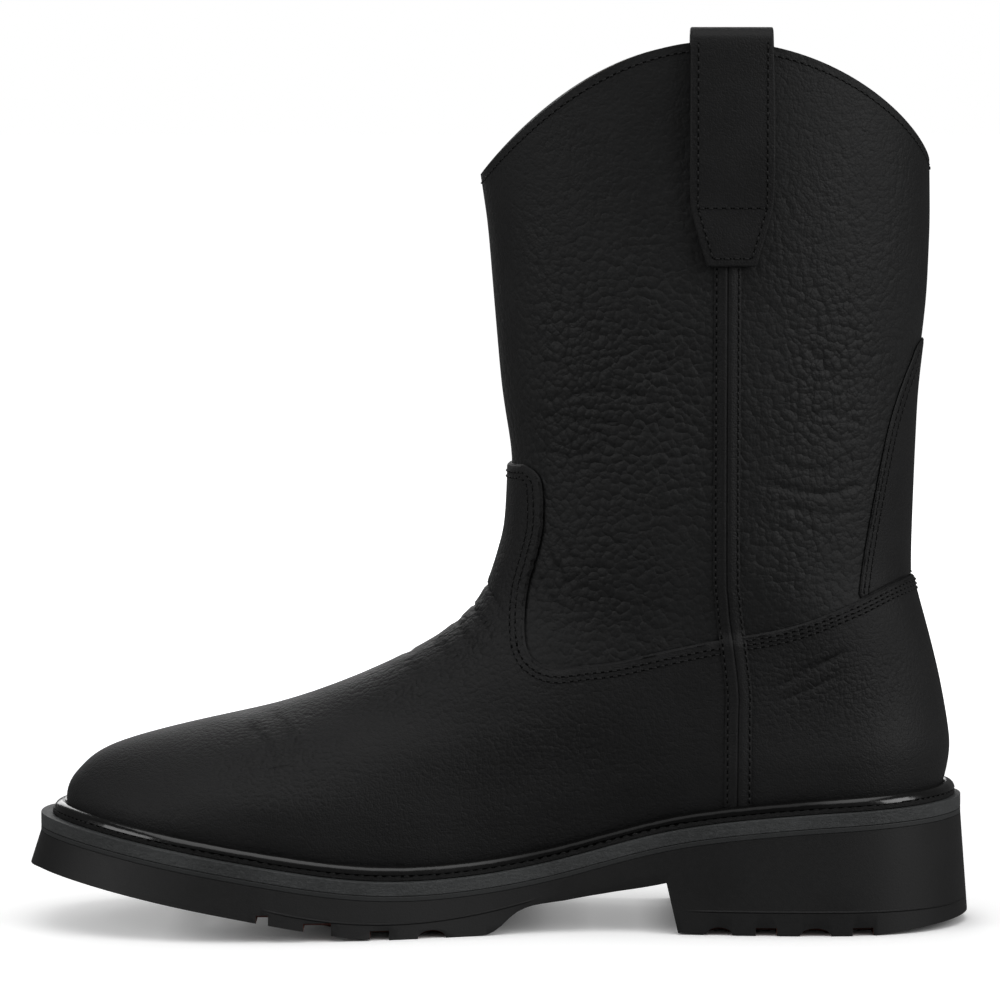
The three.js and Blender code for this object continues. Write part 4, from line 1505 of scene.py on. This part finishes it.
def slip_thickness():
    tree = surface_of(frame["nodes"]["slip_sole"])
    x = along(0.2)
    low = tree.ray_cast(Vector((x, MIDDLE_LINE, -1)), Vector((0, 0, 1)))[0]
    return height_at(tree, x) - low.z


def rim_vertices(block):
    """The vertices on the plate's edge, which are those of a face that looks sideways."""
    return {index for face in block.data.polygons
            if abs(face.normal.z) < 0.5 for index in face.vertices}


def cut(piece, cutter, kind):
    """Cuts a piece with a cutter, whose faces leave their kind of material."""
    for _ in range(2):
        cutter.data.materials.append(None)
    for face in cutter.data.polygons:
        face.material_index = kind
    apply_modifier(piece, "BOOLEAN", operation="DIFFERENCE", object=cutter, solver="EXACT")
    discard(cutter)


def waist_cutter():
    """What lies free under the waist, between the heel's breast and the tread."""
    under = under_sole()
    start = along(HEEL_BREAST) + BREAST_SLANT
    end = along(TREAD_START)
    roof = [Vector((x, under(x))) for x in np.linspace(start, end, 24)]
    floor = -10 * MM
    breast = along(HEEL_BREAST)
    outline = [Vector((breast, 0)), *roof, Vector((end, floor)), Vector((breast, floor))]
    return side_cutter(outline)


def lug_cutter(x, width, roof, arched, low, high):
    """A block across the tread, with a round roof if it is arched."""
    half = width / 2
    floor = -5 * MM
    if arched:
        arc = [Vector((x + half * math.cos(turn), roof - half * 0.55 * (1 - math.sin(turn))))
               for turn in np.linspace(0, math.pi, 13)]
    else:
        arc = [Vector((x + half, roof)), Vector((x - half, roof))]
    outline = [Vector((x - half, floor)), Vector((x + half, floor)), *arc]
    cutter = side_cutter(outline)
    points = coordinates(cutter)
    points[:, 1] = np.where(points[:, 1] < 0, low, high)
    set_coordinates(cutter, points)
    return cutter


def sole_edges(x):
    """Where the sole's edges lie across the boot at a place along it."""
    tree = surface_of(frame["nodes"]["slip_sole"])
    z = height_at(tree, x) - 0.5 * MM
    inner = tree.ray_cast(Vector((x, 1, z)), Vector((0, -1, 0)))[0]
    outer = tree.ray_cast(Vector((x, -1, z)), Vector((0, 1, 0)))[0]
    return inner.y, outer.y


def tread_cutters():
    under = under_sole()
    depth = sizes().lug_depth

    def roof_at(x, half):
        if x < along(TREAD_START):
            return depth
        return max(under(x - half), under(x + half)) + depth

    for at, width, arched in SIDE_CUTS:
        x = along(at)
        roof = roof_at(x, width * MM / 2)
        inner, outer = sole_edges(x)
        for reach, fall in ((EDGE_REACH, 0), (LUG_REACH, 0.6 * depth)):
            for edge in (inner, outer):
                yield lug_cutter(
                    x, width * MM, roof - fall, arched, edge - reach, edge + reach)
    for at, width, reach in MIDDLE_CUTS:
        x = along(at)
        roof = roof_at(x, width * MM / 2)
        inner, outer = sole_edges(x)
        middle = (inner + outer) / 2
        yield lug_cutter(x, width * MM, roof, False, middle - reach * MM, middle + reach * MM)


# Stitching
class SewUpper(bpy.types.Operator):
    """Rows of stitches on collar, panels, seams and straps"""

    bl_idname = "boot.sew_upper"
    bl_label = "Upper stitches"

    def execute(self, context):
        pieces = bpy.data.objects
        groups = {
            "vamp_stitches": vamp_rows(surface_of(pieces["vamp_leather"])),
            "counter_stitches": counter_rows(surface_of(pieces["counter_leather"])),
            "collar_stitches": [collar_row(surface_of(pieces["shaft"]))],
            "seam_stitches": seam_rows(),
            "stay_stitches": stay_rows(surface_of(pieces["back_stay_leather"])),
            "strap_stitches": strap_rows(),
        }
        given = sizes()
        for name, rows in groups.items():
            sew(name, rows, given.stitch_pitch, given.stitch_length, given.thread, "foot_leather")
        return {"FINISHED"}


SEAM_CLEAR = 4.2 * MM  # from the side seam's line to the end of a row beside it


def vamp_rows(tree):
    edge = panel_edge(VAMP_EDGE)
    rows = []
    for inset in (2.6 * MM, 4.4 * MM):
        line = upto_seam(moved_line(edge, inset), SEAM_CLEAR)
        rows.append(row_round_end(tree, line, edge[0].y - inset))
    return rows


def counter_rows(tree):
    edge = panel_edge(COUNTER_EDGE)
    rows = []
    for inset in (1.6 * MM, 3.0 * MM, 4.4 * MM):
        moved = [Vector((p.x, p.y - inset)) for p in reversed(edge)]
        line = upto_seam(moved, -SEAM_CLEAR)
        rows.append(row_round_end(tree, line, edge[-1].y - inset, back=True))
    return rows


def stay_rows(tree):
    edge = panel_edge(STAY_EDGE)
    rows = []
    for inset in (1.3 * MM, 2.8 * MM):
        line = [p for p in moved_line(edge, -inset) if p.y < edge[-1].y + above(0.27)]
        for side in SIDES:
            rows.append(side_row(tree, line, side))
    return rows


def collar_row(tree):
    """A row round the collar under its rim."""
    inset = 2.8 * MM
    rim = collar_rim()
    row = []
    for angle in np.linspace(-math.pi, math.pi, 240):
        hit = round_hit(tree, rim(angle) - inset, angle)
        if hit is not None:
            row.append(hit)
    return row


def collar_rim():
    """Height of the collar's rim, as a function of the direction from the shaft's axis."""
    shaft = bpy.data.objects["shaft"]
    counts = {}
    for index in outer_faces(shaft):
        for key in shaft.data.polygons[index].edge_keys:
            counts[key] = counts.get(key, 0) + 1
    border = {i for key, count in counts.items() if count == 1 for i in key}
    points = [shaft.data.vertices[i].co for i in border]
    turns = sorted((math.atan2(p.y, p.x - shaft_axis()), p.z) for p in points if p.z > above(0.6))
    angles = [angle for angle, _ in turns]
    heights = [height for _, height in turns]
    return lambda angle: float(np.interp(angle, angles, heights, period=2 * math.pi))


def seam_rows():
    """Rows on both sides of each side seam, from the strap down to the welt."""
    away = 3.5 * MM
    rows = []
    for side, word in SIDES.items():
        tree = surface_of(bpy.data.objects[f"side_seam_{word}"])
        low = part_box(f"foot_seam_{word}")[0].z + MM
        for shift in (away, -away):
            line = [Vector((seam_x(z) + shift, z))
                    for z in np.linspace(low, strap_tip() - 0.5 * MM, 140)]
            rows.append(side_row(tree, line, side))
    return rows


def strap_rows():
    """Rows along both edges of each strap, and a box over its tip."""
    rows = []
    inset = 2.6 * MM
    for side, word in SIDES.items():
        tree = surface_of(bpy.data.objects[f"strap_{word}"])
        low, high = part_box(f"pull_strap_{word}")
        middle = (low.x + high.x) / 2 - STRAP_SHIFT[word]
        half = (high.x - low.x) / 2
        tip_half = half * 0.59
        taper = 18.5 * MM

        def edge_at(z):
            share = clamped((z - low.z) / taper)
            return tip_half + (half - tip_half) * share - inset

        heights = np.linspace(low.z + inset, high.z - 5 * MM, 60)
        for way in (1, -1):
            line = [Vector((middle + way * edge_at(z), z)) for z in heights]
            rows.append(side_row(tree, line, side))
        for z in (low.z + inset, low.z + taper):
            places = np.linspace(-edge_at(z), edge_at(z), 20)
            rows.append(side_row(tree, [Vector((middle + x, z)) for x in places], side))
    return rows


WELT_STITCH = 2.6 * MM  # length of a stitch in the welt
WELT_THREAD = 0.9 * MM
WELT_SQUEEZE = 3  # the sole is about this much longer than it is wide
WELT_STEPS = 360  # places round the strip


class SewWelt(bpy.types.Operator):
    """Row of thick stitches round the welt's strip"""

    bl_idname = "boot.sew_welt"
    bl_label = "Welt stitches"

    def execute(self, context):
        welt = bpy.data.objects["storm_welt"]
        sew("welt_stitches", [welt_row(welt)], sizes().welt_pitch, WELT_STITCH, WELT_THREAD,
            "welt_gloss")
        return {"FINISHED"}


def welt_row(welt):
    """The middle of the welt's strip all the way round."""
    strip = [face.center.copy() for face in welt.data.polygons
             if face.material_index == STRIP and face.normal.z > 0.8]
    turns = {}
    for place in strip:
        angle = math.atan2(place.y * WELT_SQUEEZE, place.x)
        turn = int(angle / (2 * math.pi) * WELT_STEPS) % WELT_STEPS
        turns.setdefault(turn, []).append(place)
    up = Vector((0, 0, 1))
    row = [(sum(turns[turn], Vector()) / len(turns[turn]), up) for turn in sorted(turns)]
    return [*row, row[0]]


# Studio
class SetStage(bpy.types.Operator):
    """White floor, soft studio light and the camera"""

    bl_idname = "boot.set_stage"
    bl_label = "Stage"

    def execute(self, context):
        add_floor()
        add_lights()
        add_world()
        add_camera()
        return {"FINISHED"}


CAMERA_DISTANCE = 1.8
CAMERA_HEIGHT = 0.27
AIM_HEIGHT = 0.1364
FOCAL_LENGTH = 199.9  # millimetres, on a sensor 36 mm wide
FLOOR_SIZE = 60
FLOOR_FADE = (0.25, 0.6)  # from the boot's middle, where the floor turns into the background
FLOOR_BOUNCE = (0.3, 0.3, 0.3, 1)  # its colour for light that falls back on the boot
FLOOR_GLOW = ((0.012, 0.31), (0.035, 0.29))  # reach of a shadow, and the glow that it takes away
AMBIENT = 0.072  # the studio's own light on the boot, as a share of the white background


def add_floor():
    """A white floor that turns into the white background far from the boot."""
    bpy.ops.object.select_all(action="DESELECT")
    bpy.ops.mesh.primitive_plane_add(size=FLOOR_SIZE)
    floor = bpy.context.object
    floor.name = "floor"
    material, tree, shader = new_material("floor_white")
    place = add_node(tree, "ShaderNodeTexCoord").outputs["Object"]
    distance = add_node(tree, "ShaderNodeVectorMath", {0: place}, operation="LENGTH").outputs["Value"]
    far = stepped(tree, distance, *FLOOR_FADE)
    seen = add_node(tree, "ShaderNodeLightPath").outputs["Is Camera Ray"]
    speckle = add_node(tree, "ShaderNodeTexNoise", {"Vector": place, "Scale": 40.0}).outputs["Fac"]
    pale = mixed(tree, speckle, rgba(colours().floor), rgba(colours().floor, 1.02))
    tree.links.new(mixed(tree, seen, FLOOR_BOUNCE, pale), shader.inputs["Base Color"])
    shader.inputs["Roughness"].default_value = 0.9
    shader.inputs["Specular IOR Level"].default_value = 0.1
    shader.inputs["Emission Color"].default_value = (1, 1, 1, 1)
    glows = []
    for reach, share in FLOOR_GLOW:
        open_sky = add_node(
            tree, "ShaderNodeAmbientOcclusion", {"Distance": reach}, samples=4).outputs["AO"]
        glows.append(math_node(tree, "MULTIPLY", open_sky, share))
    near_glow = math_node(tree, "ADD", *glows)
    glow = math_node(tree, "MULTIPLY", math_node(tree, "MAXIMUM", far, near_glow), seen)
    tree.links.new(glow, shader.inputs["Emission Strength"])
    floor.data.materials.append(material)


LIGHTS = (
    # name, place, size, power, aimed at
    ("overhead", (0.0, 0.35, 1.5), 1.6, 9.0, (0, 0, 0)),
    ("toe_side", (1.5, 0.8, 0.75), 0.9, 6.4, (0, 0, 0.12)),
    ("heel_side", (-1.5, 0.8, 0.75), 1.0, 10.5, (0, 0, 0.12)),
    ("behind", (0.3, -1.7, 0.9), 1.2, 9.0, (0, 0, 0.12)),
)


def add_lights():
    for name, place, size, power, aim in LIGHTS:
        bpy.ops.object.light_add(type="AREA", location=place)
        light = bpy.context.object
        light.name = name
        light.data.shape = "SQUARE"
        light.data.size = size
        light.data.energy = power
        direction = Vector(aim) - Vector(place)
        light.rotation_euler = direction.to_track_quat("-Z", "Y").to_euler()


def add_world():
    world = bpy.data.worlds.new("studio")
    world.use_nodes = True
    tree = world.node_tree
    background = next(node for node in tree.nodes if node.type == "BACKGROUND")
    background.inputs["Color"].default_value = (1, 1, 1, 1)
    path = add_node(tree, "ShaderNodeLightPath").outputs["Is Camera Ray"]
    strength = add_node(tree, "ShaderNodeMapRange", {
        "Value": path, "To Min": AMBIENT, "To Max": 1.0}).outputs["Result"]
    tree.links.new(strength, background.inputs["Strength"])
    bpy.context.scene.world = world
    bpy.context.scene.view_settings.view_transform = "Standard"


def add_camera():
    pitch = math.atan2(CAMERA_HEIGHT - AIM_HEIGHT, CAMERA_DISTANCE)
    bpy.ops.object.camera_add(
        location=(0, CAMERA_DISTANCE, CAMERA_HEIGHT), rotation=(math.pi / 2 - pitch, 0, math.pi))
    camera = bpy.context.object
    camera.data.lens = FOCAL_LENGTH
    camera.data.sensor_width = 36
    camera.data.clip_end = 100
    bpy.context.scene.camera = camera


# Panel and registration
class BOOT_PT_panel(bpy.types.Panel):
    """The boot's pieces, sizes and colours"""

    bl_label = "Western work boot"
    bl_idname = "BOOT_PT_panel"
    bl_space_type = "VIEW_3D"
    bl_region_type = "UI"
    bl_category = "Boot"

    def draw(self, context):
        layout = self.layout
        for operator in STEPS:
            layout.operator(operator.bl_idname)
        for group in (context.scene.boot_sizes, context.scene.boot_colours):
            box = layout.box()
            for name in group.__annotations__:
                box.prop(group, name)


STEPS = (
    MakeShaft, MakeVamp, MakeCounter, MakeBackStay, MakeSideSeams, MakeStraps, MakeInsole,
    MakeMidsole, MakeWelt, MakeOutsole, SewUpper, SewWelt, SetStage,
)
CLASSES = (BootSizes, BootColours, *STEPS, BOOT_PT_panel)


def register():
    for part in CLASSES:
        bpy.utils.register_class(part)
    bpy.types.Scene.boot_sizes = PointerProperty(type=BootSizes)
    bpy.types.Scene.boot_colours = PointerProperty(type=BootColours)


def unregister():
    del bpy.types.Scene.boot_colours
    del bpy.types.Scene.boot_sizes
    for part in reversed(CLASSES):
        bpy.utils.unregister_class(part)


def main():
    register()
    bpy.ops.boot.make_shaft()
    bpy.ops.boot.make_vamp()
    bpy.ops.boot.make_counter()
    bpy.ops.boot.make_back_stay()
    bpy.ops.boot.make_side_seams()
    bpy.ops.boot.make_straps()
    bpy.ops.boot.make_insole()
    bpy.ops.boot.make_midsole()
    bpy.ops.boot.make_welt()
    bpy.ops.boot.make_outsole()
    bpy.ops.boot.sew_upper()
    bpy.ops.boot.sew_welt()
    bpy.ops.boot.set_stage()


if __name__ == "__main__":
    main()
